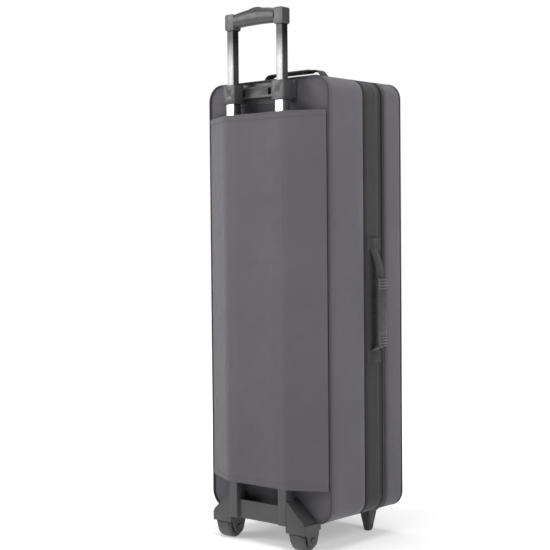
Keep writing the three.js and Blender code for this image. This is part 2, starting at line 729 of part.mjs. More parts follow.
function makeWheelBase() {
  const group = new THREE.Group();
  const face = backY - LEG_FACE;
  const panel = backY - GAP;
  const barY = [face + FRAME_BAR_SETBACK, face + FRAME_BAR_SETBACK + FRAME_BAR_THICKNESS];
  const pieces = [
    box([-tubeX, tubeX], barY, [caseBottom + FRAME_BAR_BOTTOM, caseBottom + FRAME_BAR_TOP]),
    box([-tubeX, tubeX], [barY[0], backY + 46], [hoodTop - 4, hoodTop]),
  ];
  const tools = [];
  for (const [, side] of sides) {
    const x = side * tubeX;
    pieces.push(hood(side));
    pieces.push(box(around(x, LEG_WIDTH), [face, face + 27], [hoodTop - 6, outerTubeBottom]));
    const socket = OUTER_TUBE + 6;
    pieces.push(box(around(x, socket), [face, panel], [outerTubeBottom - 8, socketTop]));
    const seat = OUTER_TUBE + 2 * GAP;
    tools.push(box(around(x, seat), around(tubeY, seat), [outerTubeBottom - GAP, socketTop + 1]));
    const axleX = spanOn([hoodX[0] - 5, hoodX[1] + 5], side);
    tools.push(rod(AXLE_RADIUS + 0.1, axleX[1] - axleX[0], "x", [axleX[0], axleY, WHEEL_RADIUS]));
    const wellX = around(side * WHEEL_CENTRE, 2 * wellHalf);
    tools.push(
      rod(WHEEL_RADIUS + WHEEL_WELL_GAP, wellX[1] - wellX[0], "x", [wellX[0], axleY, WHEEL_RADIUS], 48),
    );
    tools.push(rod(SCREW_HEAD_RADIUS, 10, "z", [side * 30, backY + 24, hoodTop - 8]));
  }
  addTo(group, "wheel_frame", cut(join(...pieces), ...tools), looks.plastic);
  for (const [name, side] of sides) {
    const shank = rod(2, 4, "z", [side * 30, backY + 24, hoodTop - 4.3]);
    const head = rod(SCREW_HEAD_RADIUS - GAP, 2.2, "z", [side * 30, backY + 24, hoodTop - 6]);
    addTo(group, "base_screw_" + name, join(shank, head), looks.steel);
    makeAxle(group, name, side);
  }
  return group;
}

// A plain pin with a head at each end, through both cheeks.
function makeAxle(group, name, side) {
  const half = wellHalf + CHEEK + GAP;
  const head = AXLE_RADIUS + 2.5;
  const profile = [
    [-half - 2, 0],
    [-half - 2, head],
    [-half, head],
    [-half, AXLE_RADIUS],
    [half, AXLE_RADIUS],
    [half, head],
    [half + 2, head],
    [half + 2, 0],
  ];
  const axle = turnedAboutX(profile, [side * WHEEL_CENTRE, axleY, WHEEL_RADIUS]);
  addTo(group, "axle_" + name, axle, looks.steel);
}

function makeWheel(name, side) {
  const group = new THREE.Group();
  const middle = [side * WHEEL_CENTRE, axleY, WHEEL_RADIUS];
  const half = WHEEL_WIDTH / 2;
  const inner = WHEEL_RADIUS - TYRE_THICKNESS;
  const tread = [];
  for (let i = 0; i <= CURVE_STEPS; i++) {
    const turn = (i / CURVE_STEPS) * (Math.PI / 2);
    const along = half - TYRE_SHOULDER + TYRE_SHOULDER * Math.sin(turn);
    tread.push([along, WHEEL_RADIUS - TYRE_SHOULDER + TYRE_SHOULDER * Math.cos(turn)]);
  }
  const crown = [...tread].reverse().map(([along, radius]) => [-along, radius]);
  const tyreProfile = [[-half, inner], ...crown, ...tread, [half, inner], [-half, inner]];
  addTo(group, "tyre_" + name, turnedAboutX(tyreProfile, middle), looks.polyurethane);
  const hubOut = inner - GAP;
  const web = half - 6;
  const hubProfile = [
    [-half + 1, hubOut],
    [half - 1, hubOut],
    [half - 1, hubOut - 2.5],
    [web, hubOut - 3.5],
    [web, BUSH_RADIUS + 3],
    [half - 1, BUSH_RADIUS + 2.5],
    [half - 1, BUSH_RADIUS + RUNNING_GAP],
    [-half + 1, BUSH_RADIUS + RUNNING_GAP],
    [-half + 1, BUSH_RADIUS + 2.5],
    [-web, BUSH_RADIUS + 3],
    [-web, hubOut - 3.5],
    [-half + 1, hubOut - 2.5],
    [-half + 1, hubOut],
  ];
  addTo(group, "hub_" + name, turnedAboutX(hubProfile, middle), looks.blackPlastic);
  const bushHalf = half + WHEEL_SIDE_GAP - GAP;
  const bore = AXLE_RADIUS + RUNNING_GAP + 0.04;
  const bushProfile = [
    [-bushHalf, bore],
    [-bushHalf, BUSH_RADIUS - RUNNING_GAP],
    [bushHalf, BUSH_RADIUS - RUNNING_GAP],
    [bushHalf, bore],
    [-bushHalf, bore],
  ];
  addTo(group, "wheel_bush_" + name, turnedAboutX(bushProfile, middle), looks.steel);
  return group;
}

function makeFoot(name, side) {
  const x = side * FOOT_CENTRE;
  const y = backY + FOOT_DEPTH;
  const top = caseBottom - GAP;
  const corners = (size, z) =>
    [-1, 1].flatMap((a) =>
      [-1, 1].map((b) => new THREE.Vector3(x + (a * size[0]) / 2, y + (b * size[1]) / 2, z)),
    );
  const stem = new ConvexGeometry([
    ...corners([FOOT_BOTTOM[0] - 4, FOOT_BOTTOM[1] - 4], 0),
    ...corners(FOOT_BOTTOM, 3),
    ...corners(FOOT_TOP, top),
  ]);
  const flange = new ConvexGeometry([
    ...corners(FOOT_TOP, top - 3 * FOOT_FLANGE_THICKNESS),
    ...corners(FOOT_FLANGE, top - 1.5),
    ...corners(FOOT_FLANGE, top),
  ]);
  addTo(bag, "foot_" + name, join(stem, flange), looks.blackPlastic);
}

// ---------- carry handles ----------

// A strap of one thickness whose middle line is a chain of [along, height] points.
function strapOutline(line, thickness) {
  const points = line.map(([a, b]) => new THREE.Vector2(a, b));
  const offset = (i, distance) => {
    const before = points[Math.max(i - 1, 0)];
    const after = points[Math.min(i + 1, points.length - 1)];
    const along = after.clone().sub(before).normalize();
    return [points[i].x - along.y * distance, points[i].y + along.x * distance];
  };
  const upper = points.map((_, i) => offset(i, thickness / 2));
  const lower = points.map((_, i) => offset(i, -thickness / 2));
  return outline([...lower, ...upper.reverse()]);
}

// Middle line of a loose strap: a smooth rise from a low end to a flat run and down again.
function arch(start, flatStart, flatEnd, end, low, high) {
  const line = [];
  for (let i = 0; i <= CURVE_STEPS; i++) {
    const t = i / CURVE_STEPS;
    line.push([start + (flatStart - start) * t, low + (high - low) * Math.sin((t * Math.PI) / 2)]);
  }
  for (let i = 0; i <= CURVE_STEPS; i++) {
    const t = i / CURVE_STEPS;
    line.push([flatEnd + (end - flatEnd) * t, low + (high - low) * Math.cos((t * Math.PI) / 2)]);
  }
  return line;
}

// Strap outlines are drawn as [along the case, out from it]; this stands one on the case's side.
function onSide(shape, width) {
  const y = backY + HANDLE_DEPTH;
  const turn = new THREE.Matrix4().makeBasis(
    new THREE.Vector3(0, 0, 1),
    new THREE.Vector3(1, 0, 0),
    new THREE.Vector3(0, 1, 0),
  );
  const geometry = new THREE.ExtrudeGeometry(shape, { depth: width, bevelEnabled: false });
  return geometry.applyMatrix4(turn).translate(halfWidth, y - width / 2, 0);
}

function makeSideHandle() {
  const anchors = new THREE.Group();
  const loose = new THREE.Group();
  const gripZ = around(handleMiddle - SIDE_GRIP_DROP, SIDE_GRIP_LENGTH);
  const patches = [
    ["upper", handleMiddle + ANCHOR_SPAN / 2, -1],
    ["lower", handleMiddle - ANCHOR_SPAN / 2, 1],
  ];
  for (const [name, farEnd, way] of patches) {
    const nearEnd = farEnd + way * ANCHOR_SIZE[1];
    const z = [Math.min(farEnd, nearEnd), Math.max(farEnd, nearEnd)];
    const x = [halfWidth + GAP, halfWidth + GAP + ANCHOR_THICKNESS];
    const stubX = [halfWidth + GAP, halfWidth + SIDE_STUB_RISE];
    const y = backY + HANDLE_DEPTH;
    const stubZ = way < 0 ? [z[0], z[0] + STRAP_THICKNESS] : [z[1] - STRAP_THICKNESS, z[1]];
    const patch = join(
      box(x, around(y, ANCHOR_SIZE[0]), z),
      box(stubX, around(y, STRAP_WIDTH), stubZ),
    );
    addTo(anchors, "side_anchor_" + name, patch, looks.blackFabric);
  }
  const low = SIDE_STUB_RISE - STRAP_THICKNESS / 2;
  const reach = ANCHOR_SPAN / 2 - ANCHOR_SIZE[1] - STRAP_END_GAP;
  const start = handleMiddle + reach;
  const end = handleMiddle - reach;
  const line = arch(start, gripZ[1] - 4, gripZ[0] + 4, end, low, SIDE_GRIP_STANDOFF);
  const strap = onSide(strapOutline(line, STRAP_THICKNESS), STRAP_WIDTH);
  addTo(loose, "side_strap", strap, looks.blackFabric);
  const section = roundedRectangle(
    ...SIDE_GRIP_SIZE,
    SIDE_GRIP_CORNER,
    halfWidth + SIDE_GRIP_STANDOFF,
    backY + HANDLE_DEPTH,
  );
  const slot = box(
    around(halfWidth + SIDE_GRIP_STANDOFF, STRAP_THICKNESS + 2 * GAP),
    around(backY + HANDLE_DEPTH, STRAP_WIDTH + 2 * GAP),
    [gripZ[0] - 1, gripZ[1] + 1],
  );
  const flare = box(
    around(halfWidth + SIDE_GRIP_STANDOFF - 2.5, STRAP_THICKNESS + 7),
    around(backY + HANDLE_DEPTH, STRAP_WIDTH + 2 * GAP),
    [gripZ[0] - 1, gripZ[0] + 6],
  );
  const flareTop = flare.clone().translate(0, 0, SIDE_GRIP_LENGTH - 5);
  addTo(loose, "side_grip", cut(alongZ(section, gripZ), slot, flare, flareTop), looks.rubber);
  return [anchors, loose];
}

function makeTopHandle() {
  const anchors = new THREE.Group();
  const y = backY + TOP_HANDLE_DEPTH;
  const half = TOP_HANDLE_LENGTH / 2;
  const stub = half - ANCHOR_SIZE[1];
  for (const [name, side] of sides) {
    const ordered = (a, b) => [Math.min(a, b), Math.max(a, b)];
    const patch = join(
      box(
        ordered(side * stub, side * half),
        around(y, ANCHOR_SIZE[0]),
        [caseTop + GAP, caseTop + GAP + ANCHOR_THICKNESS],
      ),
      box(
        ordered(side * stub, side * (stub + STRAP_THICKNESS)),
        around(y, TOP_HANDLE_WIDTH),
        [caseTop + GAP, caseTop + TOP_STUB_RISE],
      ),
    );
    addTo(anchors, "top_anchor_" + name, patch, looks.blackFabric);
  }
  const low = caseTop + TOP_STUB_RISE - TOP_HANDLE_THICKNESS / 2;
  const high = caseTop + TOP_HANDLE_RISE;
  const end = stub - STRAP_END_GAP;
  const line = arch(-end, -end + 22, end - 22, end, low, high);
  const shape = strapOutline(line, TOP_HANDLE_THICKNESS);
  const strap = alongY(shape, around(y, TOP_HANDLE_WIDTH));
  addTo(bag, "top_strap", strap, looks.blackFabric);
  return anchors;
}

// ---------- assembly ----------

const [sideAnchors, sideLoose] = makeSideHandle();
bag.add(makeCase(), makeZipAndHinge(), makeLid());
bag.add(makeSlider("left", -1), makeSlider("right", 1));
bag.add(makeOuterTubes(), makeTopBracket(), makeSlidingTubes(), makeGrip(), makeRelease());
makeCover();
bag.add(makeWheelBase(), makeWheel("left", -1), makeWheel("right", 1));
makeFoot("left", -1);
makeFoot("right", 1);
bag.add(sideAnchors, sideLoose, makeTopHandle());

// The origin is on the floor, under the middle of the whole object.
const extent = new THREE.Box3().setFromObject(bag, true);
const middle = extent.getCenter(new THREE.Vector3());
bag.position.set(-middle.x, -middle.y, -extent.min.z);

export default bag;
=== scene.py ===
"""Looks of a tall wheeled soft case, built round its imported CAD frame. Metres, +Z up."""

import json
import math

import bmesh
import bpy
from mathutils import Matrix, Vector, noise

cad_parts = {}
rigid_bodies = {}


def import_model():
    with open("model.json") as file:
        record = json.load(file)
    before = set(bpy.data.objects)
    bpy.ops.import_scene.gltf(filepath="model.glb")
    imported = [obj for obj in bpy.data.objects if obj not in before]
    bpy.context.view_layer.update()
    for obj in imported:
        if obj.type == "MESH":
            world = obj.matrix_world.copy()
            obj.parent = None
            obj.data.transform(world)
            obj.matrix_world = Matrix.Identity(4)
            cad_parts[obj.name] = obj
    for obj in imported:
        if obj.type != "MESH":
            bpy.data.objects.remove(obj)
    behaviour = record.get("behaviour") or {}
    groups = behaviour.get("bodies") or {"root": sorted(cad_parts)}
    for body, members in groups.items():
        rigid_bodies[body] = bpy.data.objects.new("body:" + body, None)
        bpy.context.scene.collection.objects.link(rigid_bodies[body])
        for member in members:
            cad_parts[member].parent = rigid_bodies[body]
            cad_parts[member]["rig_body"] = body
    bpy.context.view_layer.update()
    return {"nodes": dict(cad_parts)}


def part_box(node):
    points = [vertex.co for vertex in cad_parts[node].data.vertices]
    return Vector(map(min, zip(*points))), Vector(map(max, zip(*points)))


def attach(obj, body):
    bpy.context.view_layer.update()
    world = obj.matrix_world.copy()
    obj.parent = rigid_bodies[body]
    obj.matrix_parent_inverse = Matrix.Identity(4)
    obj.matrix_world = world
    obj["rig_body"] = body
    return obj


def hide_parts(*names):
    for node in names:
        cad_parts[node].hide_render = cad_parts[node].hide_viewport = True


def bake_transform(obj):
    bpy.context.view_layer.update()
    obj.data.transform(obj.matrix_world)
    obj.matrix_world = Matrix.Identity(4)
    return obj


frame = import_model()
MM = 0.001

# ---------- places, from the CAD ----------

case_low, case_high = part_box("rear_piping")
LEFT, RIGHT = case_low.x, case_high.x
BOTTOM, TOP = case_low.z, case_high.z
BACK = case_low.y
MID_X = (LEFT + RIGHT) / 2
GUSSET = (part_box("zip_gusset")[0].y - BACK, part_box("zip_gusset")[1].y - BACK)
SPLIT = (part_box("zip_half_case")[1].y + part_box("zip_half_lid")[0].y) / 2 - BACK
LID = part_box("zip_half_lid")[1].y - BACK
PANEL = (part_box("rear_shell")[0].y - BACK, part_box("lid_shell")[1].y - BACK)
CORNER = 36 * MM

# ---------- sizes of the cloth work ----------

WALL = 4 * MM
SEAM_OUT = 0.4 * MM
SIDE_PUFF = 1.2 * MM
PANEL_INSET = 2 * MM
REAR_BULGE = 1.2 * MM
LID_BULGE = 4.5 * MM
LINING_DEPTH = 3.4 * MM
LINING_INSET = 4.5 * MM
WELT_RADIUS = 2.1 * MM
WELT_DEPTH = 1.9 * MM
WELT_OUTSET = -1.2 * MM
STITCH_OUT = 0.1 * MM
TAPE_SEAT = -1.6 * MM
TAPE_THICKNESS = 1.2 * MM
TOOTH_PITCH = 2.6 * MM
PAD_DEPTH = 6 * MM
WEB_WIDTH = 26 * MM
WEB_THICKNESS = 2.6 * MM
WEB_RISE = 1.2 * MM
PATCH_THICKNESS = 1.7 * MM
PATCH_DROP = 0.6 * MM

# ---------- shader building ----------


class Look:
    """One procedural material, built a node at a time."""

    def __init__(self, name, roughness=0.5, metallic=0.0):
        self.material = bpy.data.materials.new(name)
        self.material.use_nodes = True
        self.tree = self.material.node_tree
        self.tree.nodes.clear()
        output = self.tree.nodes.new("ShaderNodeOutputMaterial")
        self.shader = self.tree.nodes.new("ShaderNodeBsdfPrincipled")
        self.tree.links.new(self.shader.outputs[0], output.inputs[0])
        self.shader.inputs["Roughness"].default_value = roughness
        self.shader.inputs["Metallic"].default_value = metallic
        self.place = self.add("TexCoord")
        self.spot = self.place.outputs["Object"]

    def add(self, kind, inputs=(), **settings):
        node = self.tree.nodes.new("ShaderNode" + kind)
        for key, value in settings.items():
            setattr(node, key, value)
        for key, value in dict(inputs).items():
            if isinstance(value, bpy.types.NodeSocket):
                self.tree.links.new(value, node.inputs[key])
            else:
                node.inputs[key].default_value = value
        return node

    def math(self, operation, a, b=0.0):
        return self.add("Math", {0: a, 1: b}, operation=operation).outputs[0]

    def noise(self, scale, detail=2.0, stretch=(1, 1, 1), roughness=0.5):
        mapped = self.add("Mapping", {"Vector": self.spot, "Scale": stretch}).outputs[0]
        inputs = {"Vector": mapped, "Scale": scale, "Detail": detail, "Roughness": roughness}
        return self.add("TexNoise", inputs).outputs["Fac"]

    def ramp(self, factor, low, high, start=0.3, end=0.7):
        node = self.add("ValToRGB", {"Fac": factor})
        node.color_ramp.elements[0].position = start
        node.color_ramp.elements[0].color = (*low, 1)
        node.color_ramp.elements[1].position = end
        node.color_ramp.elements[1].color = (*high, 1)
        return node.outputs["Color"]

    def between(self, value, low, high, start=0.0, end=1.0):
        """value carried from low..high over to start..end."""
        return self.add("MapRange", {0: value, 1: low, 2: high, 3: start, 4: end}).outputs[0]

    def mix(self, factor, a, b, blend="MIX"):
        node = self.add("Mix", data_type="RGBA", blend_type=blend)
        for socket, value in ((node.inputs[0], factor), (node.inputs[6], a), (node.inputs[7], b)):
            if isinstance(value, bpy.types.NodeSocket):
                self.tree.links.new(value, socket)
            else:
                socket.default_value = value
        return node.outputs[2]

    def bump(self, height, distance, strength=1.0, below=None):
        inputs = {"Height": height, "Distance": distance, "Strength": strength}
        if below is not None:
            inputs["Normal"] = below
        return self.add("Bump", inputs).outputs[0]

    def weave(self, pitch):
        """Height of crossed threads on whichever of the three planes a face lies nearest to."""
        turn = 2 * math.pi / pitch
        parts = self.add("SeparateXYZ", {0: self.spot}).outputs
        waves = [self.math("SINE", self.math("MULTIPLY", part, turn)) for part in parts]
        facing = self.add("SeparateXYZ", {0: self.place.outputs["Normal"]}).outputs
        total = None
        for axis in range(3):
            crossed = self.math("MULTIPLY", waves[(axis + 1) % 3], waves[(axis + 2) % 3])
            weight = self.math("POWER", self.math("ABSOLUTE", facing[axis]), 4.0)
            share = self.math("MULTIPLY", crossed, weight)
            total = share if total is None else self.math("ADD", total, share)
        return total

    def finish(self, colour, normal, roughness=None):
        self.tree.links.new(colour, self.shader.inputs["Base Color"])
        self.tree.links.new(normal, self.shader.inputs["Normal"])
        if roughness is not None:
            self.tree.links.new(roughness, self.shader.inputs["Roughness"])
        return self.material


def tinted(colour, factor):
    return tuple(min(1.0, part * factor) for part in colour)


def cloth_look(name, colour, pitch=0.9, relief=0.18, wrinkle=0.5, sheen=0.25, fleck=0.16):
    """Woven cloth: crossed threads with painted shade between them, slight melange, soft wide
    ripples and a dusty sheen.
    """
    look = Look(name, roughness=0.88)
    look.shader.inputs["Sheen Weight"].default_value = sheen
    look.shader.inputs["Sheen Roughness"].default_value = 0.45
    look.shader.inputs["Specular IOR Level"].default_value = 0.25
    threads = look.weave(pitch * MM)
    broad = look.ramp(look.noise(5.5, 3), tinted(colour, 0.93), tinted(colour, 1.07))
    melange = look.noise(900, 2, roughness=0.7)
    specks = look.ramp(melange, tinted(WHITE, 1 - fleck), WHITE, 0.35, 0.65)
    flecked = look.mix(1.0, broad, specks, "MULTIPLY")
    # painted shade: the colour darkens where the weave dips between the threads
    shade = look.ramp(threads, tinted(WHITE, 0.86), WHITE, 0.0, 0.6)
    coloured = look.mix(1.0, flecked, shade, "MULTIPLY")
    ripples = look.bump(look.noise(16, 3, (1, 1, 1.6)), 0.004, wrinkle)
    creases = look.bump(look.noise(70, 3), 0.0008, wrinkle * 0.6, ripples)
    woven = look.bump(threads, relief * MM, 0.7, creases)
    return look.finish(coloured, woven)


def webbing_look(name, colour, along, pitch=1.6):
    """Ribbed webbing whose ribs cross the strap, with painted shade in the hollows between them;
    along is the axis it runs in.
    """
    look = Look(name, roughness=0.8)
    look.shader.inputs["Sheen Weight"].default_value = 0.2
    look.shader.inputs["Sheen Roughness"].default_value = 0.4
    turn = 2 * math.pi / (pitch * MM)
    parts = look.add("SeparateXYZ", {0: look.spot}).outputs
    rib = look.math("SINE", look.math("MULTIPLY", parts["XYZ".index(along)], turn))
    threads = look.weave(0.8 * MM)
    height = look.math("ADD", rib, look.math("MULTIPLY", threads, 0.5))
    base = look.ramp(look.noise(30, 3), tinted(colour, 0.85), tinted(colour, 1.15))
    # painted shade: the colour darkens in the hollows between the ribs
    shade = look.ramp(height, tinted(WHITE, 0.7), WHITE, 0.1, 0.8)
    waves = look.bump(look.noise(60, 2), 0.001, 0.4)
    ribbed = look.bump(height, 0.0003, 0.8, waves)
    return look.finish(look.mix(1.0, base, shade, "MULTIPLY"), ribbed)


def plastic_look(name, colour, roughness=0.5, grain=0.12, wear=0.25):
    """Moulded plastic: fine spark-eroded grain, uneven gloss and rubbed edges."""
    look = Look(name, roughness=roughness)
    look.shader.inputs["Specular IOR Level"].default_value = 0.5
    base = look.ramp(look.noise(20, 4), tinted(colour, 0.93), tinted(colour, 1.06))
    edges = look.add("NewGeometry").outputs["Pointiness"]
    rubbed = look.ramp(edges, (0, 0, 0), (wear, wear, wear), 0.5, 0.58)
    coloured = look.mix(rubbed, base, (*tinted(colour, 1.9), 1))
    speckle = look.noise(2200, 2, roughness=0.6)
    uneven = look.ramp(look.noise(45, 4), (roughness * 0.85,) * 3, (roughness * 1.2,) * 3)
    waves = look.bump(look.noise(25, 2), 0.0006, 0.3)
    return look.finish(coloured, look.bump(speckle, grain * MM, 0.5, waves), uneven)


def metal_look(name, colour, roughness=0.3, along=(1, 1, 0.01), scratch=0.5, fade=None):
    """Drawn or turned metal: fine lines along the draw, smudges, and, where fade is given, a
    painted reflection that darkens it from the lower height to the upper.
    """
    look = Look(name, roughness=roughness, metallic=1.0)
    lines = look.noise(1800, 3, along, roughness=0.7)
    smudge = look.noise(14, 4)
    coloured = look.ramp(smudge, tinted(colour, 0.92), tinted(colour, 1.05))
    # fade paints a reflection: the colour goes down to about a fifth between the two heights
    if fade:
        height = look.add("SeparateXYZ", {0: look.spot}).outputs[2]
        coloured = look.mix(look.between(height, *fade), coloured, (*tinted(colour, 0.22), 1))
    uneven = look.ramp(lines, (roughness * 0.75,) * 3, (roughness * 1.35,) * 3)
    return look.finish(coloured, look.bump(lines, 0.00005, scratch), uneven)


def tyre_look(name, colour, roughness=0.42):
    """Cast polyurethane: slightly dull, with fine scuffs round the tread."""
    look = Look(name, roughness=roughness)
    look.shader.inputs["Coat Weight"].default_value = 0.15
    look.shader.inputs["Coat Roughness"].default_value = 0.3
    base = look.ramp(look.noise(35, 4), tinted(colour, 0.88), tinted(colour, 1.1))
    scuffs = look.noise(260, 4, (3, 0.4, 0.4), roughness=0.7)
    uneven = look.ramp(scuffs, (roughness * 0.8,) * 3, (roughness * 1.5,) * 3)
    return look.finish(base, look.bump(scuffs, 0.0001, 0.5), uneven)


WHITE = (1, 1, 1)
GREY = (0.118, 0.112, 0.124)
BLACK_WEBBING = (0.034, 0.034, 0.036)
looks = {
    "fabric": cloth_look("grey_polyester", GREY),
    "cover": cloth_look("cover_polyester", GREY, wrinkle=0.8),
    "gusset": cloth_look("black_polyester", (0.026, 0.026, 0.0275), wrinkle=0.4, fleck=0.25),
    "binding": cloth_look("dark_binding", (0.06, 0.058, 0.063), 0.7, 0.12, 0.3),
    "tape": cloth_look("zip_tape", (0.022, 0.022, 0.024), 0.6, 0.1, 0.2),
    "lining": cloth_look("brushed_lining", (0.035, 0.035, 0.04), 0.5, 0.08, 0.9, 0.6),
    "mesh": cloth_look("pocket_mesh", (0.05, 0.05, 0.055), 1.6, 0.4, 0.5),
    "webbing_z": webbing_look("webbing_upright", BLACK_WEBBING, "Z"),
    "webbing_x": webbing_look("webbing_level", BLACK_WEBBING, "X"),
    "thread": cloth_look("thread", (0.075, 0.073, 0.078), 0.5, 0.05, 0.1),
    "dark_thread": cloth_look("dark_thread", (0.02, 0.02, 0.022), 0.5, 0.05, 0.1),
    "plastic": plastic_look("grey_nylon", (0.04, 0.04, 0.042), 0.4),
    "black_plastic": plastic_look("black_nylon", (0.01, 0.01, 0.0105), 0.42),
    "teeth": plastic_look("zip_teeth", (0.018, 0.018, 0.02), 0.35, 0.03, 0.3),
    "board": plastic_look("board", (0.015, 0.015, 0.016), 0.6),
    "grip": plastic_look("side_grip_gloss", (0.045, 0.045, 0.046), 0.26, 0.04, 0.1),
    "tyre": tyre_look("polyurethane", (0.052, 0.052, 0.053)),
    "aluminium": metal_look("satin_aluminium", (0.5, 0.5, 0.515), 0.3),
    # inner tubes: a painted reflection, darker from 1.03 m up to 1.09 m
    "aluminium_painted_reflection": metal_look(
        "aluminium_painted_reflection", (0.2, 0.2, 0.205), 0.34, fade=(1.03, 1.09)
    ),
    "steel": metal_look("plain_steel", (0.45, 0.45, 0.47), 0.28, (1, 1, 1), 0.2),
    "screw": metal_look("blacked_steel", (0.09, 0.09, 0.095), 0.35, (1, 1, 1), 0.2),
}

# ---------- mesh building ----------


def add_piece(name, points, faces, look, body, stands_for=(), sharp=40):
    mesh = bpy.data.meshes.new(name)
    mesh.from_pydata([tuple(point) for point in points], [], faces)
    mesh.validate()
    return place_mesh(name, mesh, look, body, stands_for, sharp)


def place_mesh(name, mesh, look, body, stands_for=(), sharp=40):
    obj = bpy.data.objects.new(name, mesh)
    bpy.context.scene.collection.objects.link(obj)
    mesh.materials.clear()
    mesh.materials.append(looks[look])
    outward(mesh)
    mesh.polygons.foreach_set("use_smooth", [True] * len(mesh.polygons))
    if sharp:
        mesh.set_sharp_from_angle(angle=math.radians(sharp))
    if body:
        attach(obj, body)
    if stands_for:
        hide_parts(*stands_for)
    return obj


def outward(mesh):
    shape = bmesh.new()
    shape.from_mesh(mesh)
    bmesh.ops.recalc_face_normals(shape, faces=shape.faces)
    shape.to_mesh(mesh)
    shape.free()


def applied(obj):
    """obj with its modifiers made part of its mesh."""
    bpy.context.view_layer.update()
    seen = obj.evaluated_get(bpy.context.evaluated_depsgraph_get())
    mesh = bpy.data.meshes.new_from_object(seen)
    obj.modifiers.clear()
    obj.data = mesh
    return obj


def softened(node, width, look, segments=2):
    """The CAD node's own shape with rounded edges, as a mould would leave them."""
    source = frame["nodes"][node]
    shape = bmesh.new()
    shape.from_mesh(source.data)
    bmesh.ops.remove_doubles(shape, verts=shape.verts, dist=1e-6)
    bmesh.ops.dissolve_limit(
        shape, angle_limit=math.radians(1), verts=shape.verts, edges=shape.edges
    )
    points = [vertex.co.copy() for vertex in shape.verts]
    shape.verts.index_update()
    faces = [[vertex.index for vertex in face.verts] for face in shape.faces]
    shape.free()
    body = source["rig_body"]
    obj = add_piece(node + "_finished", points, faces, look, body, (node,), 0)
    rounding = obj.modifiers.new("edges", "BEVEL")
    rounding.width = width * MM
    rounding.segments = segments
    rounding.limit_method = "ANGLE"
    rounding.angle_limit = math.radians(30)
    rounding.use_clamp_overlap = True
    applied(obj)
    obj.data.polygons.foreach_set("use_smooth", [True] * len(obj.data.polygons))
    obj.data.set_sharp_from_angle(angle=math.radians(32))
    return obj


def restyle(look, *nodes):
    for node in nodes:
        materials = frame["nodes"][node].data.materials
        materials.clear()
        materials.append(looks[look])


def grid_faces(rows, columns, wrap_rows=False, wrap_columns=False):
    faces = []
    for i in range(rows if wrap_rows else rows - 1):
        for j in range(columns if wrap_columns else columns - 1):
            a, b = i, (i + 1) % rows
            c, d = j, (j + 1) % columns
            faces.append((a * columns + c, a * columns + d, b * columns + d, b * columns + c))
    return faces


def add_bar(name, points, sides, look, body, stands_for=(), sharp=40):
    """A bar or strip from rings of points, closed by a flat face at each end."""
    faces = grid_faces(len(points) // sides, sides, False, True)
    faces += [tuple(range(sides)), tuple(range(len(points) - sides, len(points)))]
    return add_piece(name, points, faces, look, body, stands_for, sharp)


def two_sided(rows, columns):
    """Faces of a thin sheet whose points are its front grid, then its back grid."""
    count = rows * columns
    front = grid_faces(rows, columns)
    back = [tuple(count + k for k in reversed(face)) for face in front]
    rim = [j for j in range(columns)]
    rim += [i * columns + columns - 1 for i in range(1, rows)]
    rim += [(rows - 1) * columns + j for j in range(columns - 2, -1, -1)]
    rim += [i * columns for i in range(rows - 2, 0, -1)]
    walls = [(a, b, b + count, a + count) for a, b in zip(rim, rim[1:] + rim[:1])]
    return front + back + walls


def squared_ring(power, sides):
    """Round a squared-off circle: (across, up, angle); a higher power is squarer."""
    ring = []
    for k in range(sides):
        turn = 2 * math.pi * k / sides
        c, s = math.cos(turn), math.sin(turn)
        flat = (abs(c) ** power + abs(s) ** power) ** (-1 / power)
        ring.append((c * flat, s * flat, turn))
    return ring


def rounded_end(from_end, length, share):
    """Size of a bar near its end, drawn in by share over length."""
    return 1 - share * max(0.0, 1 - from_end / length) ** 2


# ---------- the case's outline ----------


def case_outline(step=11 * MM, turns=9):
    """Points round the case as (x, z, outward x, outward z, share along its straight)."""
    xs = (LEFT + CORNER, RIGHT - CORNER)
    zs = (BOTTOM + CORNER, TOP - CORNER)
    straights = [
        ((xs[0], BOTTOM), (xs[1], BOTTOM), (0, -1)),
        ((RIGHT, zs[0]), (RIGHT, zs[1]), (1, 0)),
        ((xs[1], TOP), (xs[0], TOP), (0, 1)),
        ((LEFT, zs[1]), (LEFT, zs[0]), (-1, 0)),
    ]
    corners = [(xs[1], zs[0], -90), (xs[1], zs[1], 0), (xs[0], zs[1], 90), (xs[0], zs[0], 180)]
    points = []
    for (start, end, out), (x, z, first) in zip(straights, corners):
        length = abs(end[0] - start[0]) + abs(end[1] - start[1])
        count = max(2, round(length / step))
        for i in range(count):
            t = i / count
            place = [start[k] + (end[k] - start[k]) * t for k in (0, 1)]
            points.append((place[0], place[1], out[0], out[1], t))
        for i in range(turns):
            turn = math.radians(first + 90 * i / turns)
            normal = (math.cos(turn), math.sin(turn))
            points.append((x + normal[0] * CORNER, z + normal[1] * CORNER, *normal, 0.0))
    return points


OUTLINE = case_outline()


def is_hinge(point):
    return point[0] < LEFT + CORNER - 0.0001


ZIP_RUN = [point for point in OUTLINE if not is_hinge(point)]
HINGE_RUN = [point for point in OUTLINE if is_hinge(point)]


def ripple(x, y, z, size, amount):
    return noise.noise(Vector((x, y, z)) / size) * amount


def band(name, profile, look, body, stands_for=(), run=OUTLINE, puff=0.0, sharp=40):
    """A closed strip round the case. profile lists (depth, outset, share of the puff) in order."""
    closed = run is OUTLINE
    points = []
    for x, z, nx, nz, t in run:
        swell = puff * math.sin(math.pi * t) ** 0.5 if t else 0.0
        for depth, outset, share in profile:
            y = BACK + depth
            out = outset + share * (swell + ripple(x, y, z, 0.07, 0.5 * MM))
            points.append((x + nx * out, y, z + nz * out))
    if not closed:
        return add_bar(name, points, len(profile), look, body, stands_for, sharp)
    faces = grid_faces(len(run), len(profile), True, True)
    return add_piece(name, points, faces, look, body, stands_for, sharp)


